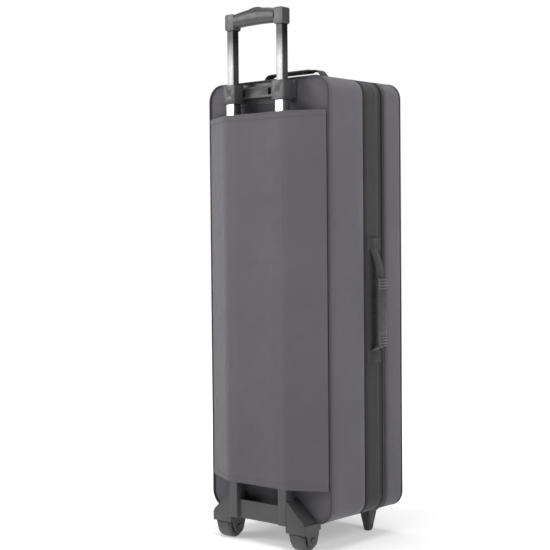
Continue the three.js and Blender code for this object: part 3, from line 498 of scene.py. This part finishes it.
def pillow_profile(start, end, steps=7, edge=1.4 * MM):
    """Outer face from start to end with its edges drawn in to the seams, then the inner face."""
    roll = 5 * MM
    profile = [(start, -WALL * 0.55, 0.0), (start + roll * 0.1, -edge, 0.0)]
    for i in range(steps + 1):
        t = i / steps
        depth = start + roll + (end - start - 2 * roll) * t
        profile.append((depth, 0.0, math.sin(math.pi * (0.12 + 0.76 * t))))
    profile += [(end - roll * 0.1, -edge, 0.0), (end, -WALL * 0.55, 0.0)]
    profile += [(end, -WALL, 0.0), (start, -WALL, 0.0)]
    return profile


def panel_points(depth, inset, bulge, facing):
    """A grid over the case's rounded outline, swelling out towards its middle."""
    columns, rows, ripples = 56, 150, 0.5 * MM
    half = ((RIGHT - LEFT) / 2 - inset, (TOP - BOTTOM) / 2 - inset)
    radius = CORNER - inset
    centre = (MID_X, (TOP + BOTTOM) / 2)
    points = []
    for i in range(rows):
        for j in range(columns):
            u, v = -1 + 2 * j / (columns - 1), -1 + 2 * i / (rows - 1)
            place = [u * half[0], v * half[1]]
            past = [abs(place[k]) - (half[k] - radius) for k in (0, 1)]
            if min(past) > 0:
                shrink = max(past) / math.hypot(*past)
                for k in (0, 1):
                    sign = math.copysign(1, place[k])
                    place[k] = sign * (half[k] - radius + past[k] * shrink)
            x, z = centre[0] + place[0], centre[1] + place[1]
            edge = min(half[0] * (1 - abs(u)), half[1] * (1 - abs(v)))
            rise = 1 - math.exp(-edge / (26 * MM))
            out = bulge * rise + ripple(x, depth, z, 0.09, ripples) * rise
            points.append((x, BACK + depth + facing * out, z))
    return points, grid_faces(rows, columns)


def add_panel(name, depth, inset, bulge, facing, look, body, slot):
    points, faces = panel_points(depth, inset, bulge, facing)
    return add_piece(name, points, faces, look, body)


def cord_round(name, depth, body, stands_for):
    """A round welt laid along the outline."""
    profile = []
    for i in range(10):
        turn = 2 * math.pi * i / 10
        across, up = WELT_RADIUS * math.cos(turn), WELT_RADIUS * math.sin(turn)
        profile.append((depth + across, WELT_OUTSET + up, 0.0))
    return band(name, profile, "binding", body, (stands_for,))


def stitch_row(name, places, look, body, length=2.7, pitch=3.8, radius=0.42):
    """Raised stitches along a chain of (point, outward normal)."""
    points, faces = [], []
    spare = 0.0
    for (a, normal), (b, _) in zip(places, places[1:]):
        step = b - a
        span = step.length
        if span < 1e-7:
            continue
        along = step / span
        side = along.cross(normal).normalized() * radius * MM
        lift = normal.normalized() * radius * MM * 1.1
        while spare < span:
            middle = a + along * spare
            ends = (middle - along * length * MM / 2, middle + along * length * MM / 2)
            base = len(points)
            for end, reach in ((ends[0], 0.55), (middle, 1.0), (ends[1], 0.55)):
                sunk = -0.25 * MM * normal
                points += [end + side * reach + sunk, end + lift * reach, end - side * reach + sunk]
            for k in (0, 3):
                for c in range(3):
                    d = (c + 1) % 3
                    faces.append((base + k + c, base + k + d, base + k + 3 + d, base + k + 3 + c))
            faces += [(base, base + 1, base + 2), (base + 6, base + 8, base + 7)]
            spare += pitch * MM
        spare -= span
    add_piece(name, points, faces, look, body, (), 60)


def outline_stitches(name, depth, outset, look, body):
    """Stitches round the case's side walls at one depth."""
    places = []
    for x, z, nx, nz, _ in OUTLINE + OUTLINE[:1]:
        normal = Vector((nx, 0, nz))
        places.append((Vector((x, BACK + depth, z)) + normal * outset, normal))
    stitch_row(name, places, look, body)


# ---------- rear shell, gusset and lid ----------


def build_rear_shell():
    start, end = PANEL[0] - SEAM_OUT, GUSSET[0] - 0.3 * MM
    profile = pillow_profile(start, end)
    shell = band(
        "rear_shell_sides", profile, "fabric", "case", (), puff=SIDE_PUFF
    )
    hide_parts("rear_shell")
    back = (PANEL[0], PANEL_INSET, REAR_BULGE, -1)
    add_panel("rear_panel", *back, "fabric", "case", "grey_fabric")
    inside = (PANEL[0] + LINING_DEPTH, LINING_INSET, 0, 1)
    add_panel("rear_panel_inside", *inside, "lining", "case", "foam")
    cord_round("rear_welt", WELT_DEPTH, "case", "rear_piping")
    for name, depth, outset in (
        ("rear_seam", 8.5 * MM, STITCH_OUT),
        ("gusset_seam", end - 3 * MM, STITCH_OUT / 2),
    ):
        outline_stitches(name, depth, outset, "thread", "case")


def build_gusset():
    start, end = GUSSET
    profile = pillow_profile(start, end, steps=5, edge=1.0 * MM)
    band("gusset_band", profile, "gusset", "case", ("zip_gusset",))
    for name, depth, outset in (
        ("gusset_edge", start + 3.5 * MM, STITCH_OUT / 2),
        ("zip_edge", end - 2.5 * MM, 0.0),
    ):
        outline_stitches(name, depth, outset, "dark_thread", "case")


def tape_profile(start, end):
    under = TAPE_SEAT - TAPE_THICKNESS
    return [(start, TAPE_SEAT, 0.0), (end, TAPE_SEAT, 0.0), (end, under, 0.0), (start, under, 0.0)]


def build_teeth(name, depth, way, body):
    """Moulded teeth along the zip: one small block each, leaning over the meeting line."""
    points, faces = [], []
    spare = 0.0 if way < 0 else TOOTH_PITCH / 2
    for (x, z, nx, nz, _), (x2, z2, _, _, _) in zip(ZIP_RUN, ZIP_RUN[1:]):
        start, out = Vector((x, BACK, z)), Vector((nx, 0, nz))
        step = Vector((x2, BACK, z2)) - start
        span = step.length
        along = step / span
        while spare < span:
            middle = start + along * spare
            q = len(points)
            for reach, half in ((0.1 * MM, 0.95 * MM), (2.7 * MM, 0.5 * MM)):
                y = BACK + depth + way * reach
                for a, b in ((-1, -1), (1, -1), (1, 1), (-1, 1)):
                    height = -1.0 * MM + b * 0.85 * MM
                    spot = middle + along * (a * half) + out * height
                    points.append((spot.x, y, spot.z))
            faces += [(q, q + 1, q + 2, q + 3), (q + 4, q + 7, q + 6, q + 5)]
            for c in range(4):
                d = (c + 1) % 4
                faces.append((q + c, q + d, q + 4 + d, q + 4 + c))
            spare += TOOTH_PITCH
        spare -= span
    add_piece(name, points, faces, "teeth", body, (), 30)


def build_zip():
    gap, step = 1.2 * MM, 0.1 * MM
    case_tape = tape_profile(GUSSET[1] + 0.1 * MM, SPLIT - gap)
    band("zip_tape_case", case_tape, "tape", "case", ("zip_half_case",), ZIP_RUN)
    lid_tape = tape_profile(SPLIT + gap, LID + 0.2 * MM)
    band("zip_tape_lid", lid_tape, "tape", "lid", ("zip_half_lid",), ZIP_RUN)
    build_teeth("zip_teeth_case", SPLIT - step, -1, "case")
    build_teeth("zip_teeth_lid", SPLIT + step, 1, "lid")


def build_hinge():
    """The cloth strip that the lid folds on, built straight along the hinge side; it belongs to
    neither body.
    """
    start, end = GUSSET[1] - 3 * MM, LID + 3 * MM
    profile = [(start + (end - start) * i / 8, 0.15 * MM, 0.0) for i in range(9)]
    profile += [(depth, -1.0 * MM, 0.0) for depth, _, _ in reversed(profile)]
    strip = band("hinge_cloth", profile, "gusset", None, (), HINGE_RUN)
    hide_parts("hinge_strip")
    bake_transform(strip)


def build_lid():
    start, end = LID + 0.3 * MM, PANEL[1] + SEAM_OUT
    profile = pillow_profile(start, end)
    band(
        "lid_sides", profile, "fabric", "lid", ("lid_shell",), puff=SIDE_PUFF
    )
    add_panel("lid_front", PANEL[1], PANEL_INSET, LID_BULGE, 1, "fabric", "lid", "grey_fabric")
    inside = (PANEL[1] - LINING_DEPTH, LINING_INSET, 0, 1)
    add_panel("lid_inside", *inside, "lining", "lid", "foam")
    cord_round("lid_welt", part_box("lid_piping")[1].y - BACK - WELT_DEPTH, "lid", "lid_piping")
    for name, depth, outset in (
        ("lid_seam", end - 5 * MM, STITCH_OUT),
        ("lid_zip_seam", start + 3 * MM, STITCH_OUT / 2),
    ):
        outline_stitches(name, depth, outset, "thread", "lid")


# ---------- inside ----------


def build_liner(name, node, facing, body):
    """Foam tray faced with brushed cloth: a rolled rim, soft walls and a padded floor."""
    low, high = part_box(node)
    floor, rim = low.y - BACK, high.y - BACK
    if facing < 0:
        floor, rim = rim, floor
    pad = floor + facing * PAD_DEPTH
    outer, inner, corner = -4.4 * MM, -10.0 * MM, 1.6 * MM
    roll = facing * 2.5 * MM
    profile = [(floor, outer, 0.0), (rim - roll, outer, 0.0), (rim, outer - corner, 0.0)]
    profile += [(rim, inner + corner, 0.0), (rim - roll, inner, 0.0)]
    for i in range(1, 6):
        t = i / 6
        depth = (rim - roll) * (1 - t) + pad * t
        profile.append((depth, inner, -math.sin(math.pi * t)))
    profile += [(pad, inner, 0.0), (floor, inner, 0.0)]
    band(name + "_walls", profile, "lining", body, (node,), puff=0.6 * MM)
    add_panel(name + "_floor", pad, 9.6 * MM, 0.8 * MM, facing, "lining", body, "foam")


def pressed(obj):
    """Swells a slab as stuffed cloth does, by simulation, no point moving more than cap."""
    frames, pressure, cap, voxel = 14, 3.0, 1.6 * MM, 5 * MM
    scene = bpy.context.scene
    fine = obj.modifiers.new("remesh", "REMESH")
    fine.mode = "VOXEL"
    fine.voxel_size = voxel
    applied(obj)
    rest = [vertex.co.copy() for vertex in obj.data.vertices]
    cloth = obj.modifiers.new("cloth", "CLOTH")
    cloth.settings.use_pressure = True
    cloth.settings.uniform_pressure_force = pressure
    cloth.settings.effector_weights.gravity = 0.0
    cloth.point_cache.frame_start, cloth.point_cache.frame_end = 1, frames
    for step in range(1, frames + 1):
        scene.frame_set(step)
    applied(obj)
    for vertex, start in zip(obj.data.vertices, rest):
        move = vertex.co - start
        if move.length > cap:
            vertex.co = start + move.normalized() * cap
    scene.frame_set(1)
    obj.modifiers.new("smooth", "SUBSURF").levels = 1
    applied(obj)
    obj.data.polygons.foreach_set("use_smooth", [True] * len(obj.data.polygons))
    return obj


def build_divider(index):
    node = "divider_%d" % index
    low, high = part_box(node)
    shrink = 2.0 * MM
    corners = [
        (x, y, z)
        for x in (low.x + shrink, high.x - shrink)
        for y in (low.y + shrink, high.y - shrink)
        for z in (low.z + shrink, high.z - shrink)
    ]
    faces = [(0, 1, 3, 2), (4, 6, 7, 5), (0, 4, 5, 1), (2, 3, 7, 6), (0, 2, 6, 4), (1, 5, 7, 3)]
    pad = add_piece(node + "_pad", corners, faces, "lining", "case", (node,), 0)
    pressed(pad)


def build_pocket():
    """A flat mesh pocket, slack in its middle and gathered near its top."""
    low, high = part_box("lid_pocket")
    rows, columns = 90, 36
    points = []
    for side in (0, 1):
        for i in range(rows):
            for j in range(columns):
                u, v = j / (columns - 1), i / (rows - 1)
                x = low.x + (high.x - low.x) * (0.02 + 0.96 * u)
                z = low.z + (high.z - low.z) * (0.01 + 0.98 * v)
                edge = math.sin(math.pi * u) * math.sin(math.pi * v)
                gather = math.sin(u * 40) * 0.9 * MM * max(0, v - 0.8) * 5
                slack = -2.5 * MM * edge ** 0.5 + gather * edge
                slack += ripple(x, 0.3, z, 0.05, 1.0 * MM) * edge
                points.append((x, high.y - 0.6 * MM + slack - side * 0.7 * MM, z))
    net = add_piece(
        "pocket_net", points, two_sided(rows, columns), "mesh", "lid", ("lid_pocket",)
    )


# ---------- tube cover ----------

COVER_LOW, COVER_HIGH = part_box("tube_cover")
COVER_FLAT = 84 * MM
COVER_SEAT = 0.4 * MM
COVER_LEAST = 0.2 * MM
COVER_COLUMNS = 120
HEM_HALF = 6 * MM
COVER_FOLDS = [  # height, depth, half width, tilt
    (0.604, -1.1 * MM, 6 * MM, -0.02),
    (0.586, 0.7 * MM, 8 * MM, -0.02),
    (0.526, -1.0 * MM, 6 * MM, 0.015),
    (0.512, 0.6 * MM, 7 * MM, 0.0),
    (0.31, -0.6 * MM, 9 * MM, 0.03),
    (0.77, -0.5 * MM, 10 * MM, -0.03),
]


def cover_section(x):
    """How far behind the back face the cover stands at x: flat over the tubes, sloping beyond."""
    edge = COVER_HIGH.x - MID_X
    reach = abs(x - MID_X)
    height = BACK - COVER_LOW.y
    if reach <= COVER_FLAT - 6 * MM:
        return height - 1.6 * MM * max(0.0, 1 - (reach / (50 * MM)) ** 2)
    slope = height * (edge - reach) / (edge - COVER_FLAT)
    blend = max(0.0, 1 - abs(reach - COVER_FLAT) / (8 * MM))
    return min(height, slope) - 1.6 * MM * blend ** 2


def cover_crease(x, z):
    """Faint level folds that the cloth has set into."""
    across = math.exp(-(((x - MID_X) / (78 * MM)) ** 4))
    total = 0.0
    for height, depth, width, tilt in COVER_FOLDS:
        line = height + tilt * (x - MID_X)
        total += depth * math.exp(-(((z - line) / width) ** 2))
    return total * across



def cover_x(j):
    return COVER_LOW.x + (COVER_HIGH.x - COVER_LOW.x) * j / (COVER_COLUMNS - 1)


def build_cover():
    rows, thickness = 230, 1.5 * MM
    points = []
    for side in (0, 1):
        for i in range(rows):
            z = COVER_LOW.z + (COVER_HIGH.z - COVER_LOW.z) * i / (rows - 1)
            for j in range(COVER_COLUMNS):
                x = cover_x(j)
                stand = cover_section(x)
                loose = min(1.0, stand / (12 * MM))
                stand += cover_crease(x, z) + ripple(x, 0.0, z, 0.12, 0.6 * MM) * loose
                stand += ripple(x, 0.5, z, 0.03, 0.2 * MM) * loose
                y = BACK - COVER_SEAT - max(COVER_LEAST, stand) + side * thickness
                points.append((x, min(y, BACK - 0.3 * MM), z))
    faces = two_sided(rows, COVER_COLUMNS)
    add_piece("cover_cloth", points, faces, "cover", "case", ("tube_cover",))
    build_hem("cover_hem_top", COVER_HIGH.z - HEM_HALF)
    build_hem("cover_hem_bottom", COVER_LOW.z + HEM_HALF)


def cover_surface(x, z, lift):
    stand = cover_section(x)
    y = BACK - COVER_SEAT - max(COVER_LEAST, stand + cover_crease(x, z)) - lift
    return Vector((x, y, z))


def build_hem(name, z):
    """Folded edge of the cover: a slightly thicker strip with two rows of stitches."""
    lift, row_offset = 0.7 * MM, 4.2 * MM
    points = []
    for j in range(COVER_COLUMNS):
        for offset, height in ((-6.4, -0.3), (-6.0, 0.7), (6.0, 0.7), (6.6, -0.3)):
            points.append(cover_surface(cover_x(j), z + offset * MM, height * MM))
    add_bar(name, points, 4, "cover", "case")
    for row, offset in (("a", -row_offset), ("b", row_offset)):
        places = []
        for j in range(COVER_COLUMNS):
            x = cover_x(j)
            spot = cover_surface(x, z + offset, lift)
            along = (cover_surface(x + 1 * MM, z + offset, lift) - spot).normalized()
            places.append((spot, Vector((along.y, -along.x, 0))))
        stitch_row(name + "_stitches_" + row, places, "thread", "case")


# ---------- carry handles ----------


def strap(name, path, width, thickness, look, body=None):
    """Flat webbing along a chain of points, its width along Y."""
    across = Vector((0, 1, 0))
    half = [(-1, -0.6), (-0.94, -1), (0.94, -1), (1, -0.6)]
    section = half + [(-a, -b) for a, b in half]
    points = []
    for i, spot in enumerate(path):
        along = (path[min(i + 1, len(path) - 1)] - path[max(i - 1, 0)]).normalized()
        lift = along.cross(across).normalized() * thickness / 2
        for a, b in section:
            points.append(spot + across * (width / 2 * a) + lift * b)
    return add_bar(name, points, len(section), look, body, (), 50)


def smooth_path(anchors, steps=14):
    """A smooth chain through a few points."""
    ends = [anchors[0]] + list(anchors) + [anchors[-1]]
    path = []
    for i in range(1, len(ends) - 2):
        p0, p1, p2, p3 = ends[i - 1 : i + 3]
        bend = 2 * p0 - 5 * p1 + 4 * p2 - p3
        twist = 3 * p1 - p0 - 3 * p2 + p3
        for k in range(steps):
            t = k / steps
            path.append(0.5 * (2 * p1 + (p2 - p0) * t + bend * t * t + twist * t ** 3))
    return path + [anchors[-1]]


def box_stitch(name, middle, along, normal, length, width):
    """The square and cross sewn through a strap's end."""
    across = Vector((0, 1, 0))
    corners = [
        middle + along * a * length / 2 + across * b * width / 2
        for a, b in ((-1, -1), (1, -1), (1, 1), (-1, 1))
    ]
    for tag, chain in (
        ("square", corners + corners[:1]),
        ("cross_a", [corners[0], corners[2]]),
        ("cross_b", [corners[1], corners[3]]),
    ):
        places = [(spot, normal) for spot in chain]
        stitch_row(name + "_" + tag, places, "thread", "case", 2.4, 3.4, 0.4)


def build_side_handle():
    grip_low, grip_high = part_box("side_grip")
    patches = {end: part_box("side_anchor_" + end) for end in ("upper", "lower")}
    y = (grip_low.y + grip_high.y) / 2
    axis_x = (grip_low.x + grip_high.x) / 2
    wall = patches["upper"][0].x + WEB_RISE
    for end, way in (("upper", 1), ("lower", -1)):
        low, high = patches[end]
        far = high.z if way > 0 else low.z
        near = low.z if way > 0 else high.z
        edge = grip_high.z if way > 0 else grip_low.z
        base = [(wall, far), (wall, far - way * 5 * MM), (wall, near + way * 3 * MM)]
        reach = edge - near
        if way > 0:
            rise = [(wall + 4 * MM, near + reach * 0.14), (axis_x - 3.5 * MM, near + reach * 0.6)]
        else:
            rise = [(wall + 3 * MM, near + 3.5 * MM), (axis_x - 5 * MM, edge - 1.5 * MM)]
        rise += [(axis_x, edge - way * 6 * MM), (axis_x, edge - way * 20 * MM)]
        path = smooth_path([Vector((x, y, z)) for x, z in base + rise])
        web = strap("side_web_" + end, path, WEB_WIDTH, WEB_THICKNESS, "webbing_z")
        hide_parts("side_strap")
        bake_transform(web)
        build_patch(end, low, high, wall)
    build_grip(grip_low, grip_high, axis_x, y)


def build_patch(end, low, high, wall):
    """Webbing base of the handle: turned edges, sewn down all round and across the strap."""
    up, out = Vector((0, 0, 1)), Vector((1, 0, 0))
    middle = Vector((wall - PATCH_DROP, (low.y + high.y) / 2, (low.z + high.z) / 2))
    tall, wide = high.z - low.z, high.y - low.y
    path = [middle + up * tall * (k / 6 - 0.5) for k in range(7)]
    patch = strap("side_patch_" + end, path, wide, PATCH_THICKNESS, "webbing_z", "case")
    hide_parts("side_anchor_" + end)
    top = middle + out * 0.9 * MM
    for side, word in ((-1, "near"), (1, "far")):
        spot = top + Vector((0, side * (wide / 2 - 6 * MM), 0))
        box_stitch("side_box_%s_%s" % (end, word), spot, up, out, tall - 6 * MM, 8 * MM)
    box_stitch("side_box_" + end, top + out * 1.6 * MM, up, out, tall - 8 * MM, 20 * MM)


def build_grip(low, high, axis_x, y):
    """A moulded sleeve over the strap: ribbed at both ends, smooth and glossy between."""
    rows, sides, power = 150, 40, 3.2
    ribbed, rib_pitch, fade = 27 * MM, 6.2 * MM, 4 * MM
    half = ((high.x - low.x) / 2, (high.y - low.y) / 2)
    points = []
    for i in range(rows + 1):
        t = i / rows
        z = low.z + (high.z - low.z) * t
        from_end = min(t, 1 - t) * (high.z - low.z)
        size = rounded_end(from_end, 2.2 * MM, 0.55)
        if from_end < ribbed:
            size *= 1 - 0.055 * (0.5 + 0.5 * math.cos(2 * math.pi * from_end / rib_pitch))
        else:
            size *= 1 - 0.03 * math.exp(-(from_end - ribbed) / fade)
        for a, b, _ in squared_ring(power, sides):
            points.append((axis_x + half[0] * size * a, y + half[1] * size * b, z))
    add_bar(
        "side_grip_sleeve", points, sides, "grip", "side_handle",
        ("side_grip",), 60,
    )


def build_top_handle():
    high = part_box("top_strap")[1]
    anchors = {side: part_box("top_anchor_" + side) for side in ("left", "right")}
    y = (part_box("top_strap")[0].y + high.y) / 2
    wall = anchors["left"][0].z + WEB_RISE
    peak = high.z - 1.9 * MM
    along, up = Vector((1, 0, 0)), Vector((0, 0, 1))
    for side, way in (("left", -1), ("right", 1)):
        ends = (anchors[side][0].x, anchors[side][1].x)
        far, near = ends if way < 0 else ends[::-1]
        spots = [
            (far, wall),
            (far - way * 5 * MM, wall),
            (near + way * 4 * MM, wall),
            (near - way * 5 * MM, wall + 6 * MM),
            (near - way * 18 * MM, peak - 2.5 * MM),
            (near - way * 30 * MM, peak),
            (near - way * 44 * MM, peak),
        ]
        path = smooth_path([Vector((x, y, z)) for x, z in spots], 10)
        web = strap("top_web_" + side, path, WEB_WIDTH, WEB_THICKNESS, "webbing_x")
        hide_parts("top_strap", "top_anchor_" + side)
        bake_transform(web)
        middle = Vector(((far + near) / 2, y, wall))
        patch = [middle - up * PATCH_DROP + along * (k / 6 - 0.5) * 26 * MM for k in range(7)]
        strap("top_patch_" + side, patch, 48 * MM, PATCH_THICKNESS, "webbing_x", "case")
        box_stitch("top_box_" + side, middle + up * 1.6 * MM, along, up, 18 * MM, 20 * MM)
    build_top_pad(y, peak)


def build_top_pad(y, peak):
    """Padded wrap round the middle of the top handle, closed by a seam at each end."""
    rows, sides, power = 60, 28, 2.8
    reach, half_width, half_height = 46 * MM, 15 * MM, 4.2 * MM
    points = []
    for i in range(rows + 1):
        t = i / rows
        x = MID_X - reach + 2 * reach * t
        from_end = min(t, 1 - t) * 2 * reach
        size = rounded_end(from_end, 3 * MM, 0.4)
        size *= 1 - 0.05 * math.exp(-(((from_end - 7 * MM) / (1.2 * MM)) ** 2))
        for a, b, turn in squared_ring(power, sides):
            dz = half_height * size * b + ripple(x, y, turn, 0.02, 0.2 * MM)
            points.append((x, y + half_width * size * a, peak + dz))
    pad = add_bar("top_pad", points, sides, "gusset", "top_handle", (), 60)


# ---------- wheels, metal and plastic ----------


def turned(name, node, profile, look, steps=96):
    """A turned piece in place of a CAD one; profile is a closed chain of (along, radius)."""
    low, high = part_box(node)
    centre = (low + high) / 2
    points = []
    for i in range(steps):
        turn = 2 * math.pi * i / steps
        for along, radius in profile:
            spot = Vector((along, radius * math.cos(turn), radius * math.sin(turn))) * MM
            points.append(centre + spot)
    faces = grid_faces(steps, len(profile), True, True)
    body = frame["nodes"][node]["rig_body"]
    return add_piece(name, points, faces, look, body, (node,), 32)


def mirrored(half):
    """A profile closed by the mirror image of its first half."""
    return half + [(-along, radius) for along, radius in reversed(half)]


def build_wheels():
    """Tyre, hub and axle of each wheel, from profiles in millimetres."""
    tread = [(-19.5, 16.2), (-19.5, 17.4), (-18.9, 20.1)]
    for i in range(7):
        turn = math.radians(100 + 80 * (1 - i / 6) - 10)
        tread.append((-12.0 + 7.0 * math.cos(turn), 18.0 + 7.0 * math.sin(turn)))
    groove = [(-8.0, 25.0), (-7.7, 24.6), (-7.2, 24.6), (-6.9, 25.0)]
    rim = [(-18.6, 15.9), (-18.6, 13.6), (-13.4, 12.6), (-13.4, 10.2), (-18.2, 9.6)]
    boss = [(-18.6, 9.2), (-18.6, 7.2)]
    pin = [(-28.1, 0.05), (-28.1, 4.8), (-27.4, 6.1), (-26.4, 6.4), (-26.4, 4.0)]
    tyre, hub, axle = mirrored(tread + groove), mirrored(rim + boss), mirrored(pin)
    for side in ("left", "right"):
        turned("tyre_%s_cast" % side, "tyre_" + side, tyre, "tyre")
        turned("hub_%s_moulded" % side, "hub_" + side, hub, "black_plastic")
        turned("axle_%s_pin" % side, "axle_" + side, axle, "screw", 64)
    restyle("steel", "wheel_bush_left", "wheel_bush_right")


def build_bar():
    """The bar of the pull handle: a full round grip, its top arched and its ends square on."""
    rows, sides, power = 48, 40, 2.5
    top_arch, under_arch = 6 * MM, 1.5 * MM
    low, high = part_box("grip_bar")
    centre, half = (low + high) / 2, (high - low) / 2
    points = []
    for i in range(rows + 1):
        t = -1 + 2 * i / rows
        top = high.z - top_arch * t * t
        bottom = low.z + under_arch * (1 - t * t)
        for a, b, _ in squared_ring(power, sides):
            z = (top + bottom) / 2 + (top - bottom) / 2 * b
            points.append((centre.x + half.x * t, centre.y + half.y * a, z))
    add_bar(
        "grip_bar_round", points, sides, "plastic", "pull_handle",
        ("grip_bar",),
    )


def build_hardware():
    for side in ("left", "right"):
        softened("outer_tube_" + side, 1.0, "aluminium")
        softened("inner_tube_" + side, 1.2, "aluminium_painted_reflection", 3)
        softened("grip_cap_" + side, 2.2, "plastic", 3)
        softened("foot_" + side, 1.6, "black_plastic", 3)
        softened("bracket_screw_" + side, 0.25, "screw")
        restyle("black_plastic", "lock_slug_" + side)
        restyle("steel", "lock_pin_" + side, "release_rod_" + side, "base_screw_" + side)
        softened("slider_" + side, 0.8, "screw")
        softened("pull_tab_" + side, 0.4, "teeth")
    build_bar()
    softened("push_button", 1.0, "black_plastic")
    softened("top_bracket", 0.8, "plastic")
    softened("wheel_frame", 0.8, "plastic")
    restyle("steel", "link_bar", "button_spring")
    restyle("board", "back_board")


# ---------- stage ----------

FLOOR_SIZE = 12
FLOOR_GLOW = (0.5, 1.8, 0.34, 0.9)  # from one distance to another, one strength to another
ROOM_LIGHT = 0.2
CAMERA_TURN = (41.12, -1.84, -0.5)  # aim, pitch and roll, in degrees
CAMERA_RIGHT, CAMERA_BEHIND, CAMERA_HEIGHT = 1.819, 2.060, 0.668
CAMERA_LENS = 83.4
LIGHTS = [  # name, place, aim, size, power
    ("key", (-1.85, -2.15, 1.75), (0, 0, 0.95), (1.4, 1.2), 43),
    ("fill", (2.6, -0.75, 2.0), (0, 0, 0.95), (1.5, 1.5), 33),
    ("top", (0, -0.2, 3.2), (0, 0, 0), (2.6, 2.6), 72),
]


def build_stage():
    """A pale floor that glows brighter away from the case, so that it runs into the white."""
    bpy.ops.mesh.primitive_plane_add(size=FLOOR_SIZE, location=(0, 0, 0))
    floor = bpy.context.object
    floor.name = "studio_floor"
    pale = Look("studio_pale", roughness=0.9)
    pale.shader.inputs["Emission Color"].default_value = (1, 1, 1, 1)
    away = pale.add("VectorMath", {0: pale.spot}, operation="LENGTH").outputs["Value"]
    glow = pale.between(away, *FLOOR_GLOW)
    pale.tree.links.new(glow, pale.shader.inputs["Emission Strength"])
    shade = pale.ramp(pale.noise(0.6, 2), tinted(WHITE, 0.88), tinted(WHITE, 0.9))
    floor.data.materials.append(pale.finish(shade, pale.bump(pale.noise(3, 2), 0.001, 0.1)))
    build_world()
    bpy.context.scene.view_settings.view_transform = "Standard"


def build_world():
    """White paper all round as the eye sees it, and a dimmer room as the light."""
    world = bpy.data.worlds.new("studio")
    world.use_nodes = True
    nodes, links = world.node_tree.nodes, world.node_tree.links
    seen, room = nodes["Background"], nodes.new("ShaderNodeBackground")
    seen.inputs[0].default_value = (1, 1, 1, 1)
    room.inputs[0].default_value = (1, 1, 1, 1)
    room.inputs[1].default_value = ROOM_LIGHT
    rays, mix = nodes.new("ShaderNodeLightPath"), nodes.new("ShaderNodeMixShader")
    links.new(rays.outputs["Is Camera Ray"], mix.inputs[0])
    links.new(room.outputs[0], mix.inputs[1])
    links.new(seen.outputs[0], mix.inputs[2])
    links.new(mix.outputs[0], nodes["World Output"].inputs[0])
    bpy.context.scene.world = world


def add_light(name, place, aim, size, power):
    data = bpy.data.lights.new(name, "AREA")
    data.shape = "RECTANGLE"
    data.size, data.size_y = size
    data.energy = power
    light = bpy.data.objects.new(name, data)
    light.location = place
    light.rotation_euler = (Vector(aim) - Vector(place)).to_track_quat("-Z", "Y").to_euler()
    bpy.context.scene.collection.objects.link(light)


def add_camera():
    """A little above the case's middle, behind the trolley and to the right of it."""
    aim, pitch, roll = (math.radians(angle) for angle in CAMERA_TURN)
    place = Vector((MID_X + CAMERA_RIGHT, BACK - CAMERA_BEHIND, CAMERA_HEIGHT))
    level = Vector((-math.sin(aim), math.cos(aim), 0))
    forward = level * math.cos(pitch) + Vector((0, 0, math.sin(pitch)))
    right = forward.cross(Vector((0, 0, 1))).normalized()
    up = right.cross(forward)
    tilted = right * math.cos(roll) + up * math.sin(roll)
    over = tilted.cross(forward)
    data = bpy.data.cameras.new("camera")
    data.lens = CAMERA_LENS
    data.sensor_width = 36
    camera = bpy.data.objects.new("camera", data)
    turn = Matrix((tilted, over, -forward)).transposed().to_4x4()
    camera.matrix_world = Matrix.Translation(place) @ turn
    bpy.context.scene.collection.objects.link(camera)
    bpy.context.scene.camera = camera


# ---------- the whole ----------

add_camera()
build_stage()
for row in LIGHTS:
    add_light(*row)

build_rear_shell()
build_gusset()
build_zip()
build_hinge()
build_lid()
build_liner("case_liner", "foam_liner", 1, "case")
build_liner("lid_liner", "lid_foam", -1, "lid")
for number in (1, 2, 3):
    build_divider(number)
build_pocket()
build_cover()
build_side_handle()
build_top_handle()
build_wheels()
build_hardware()
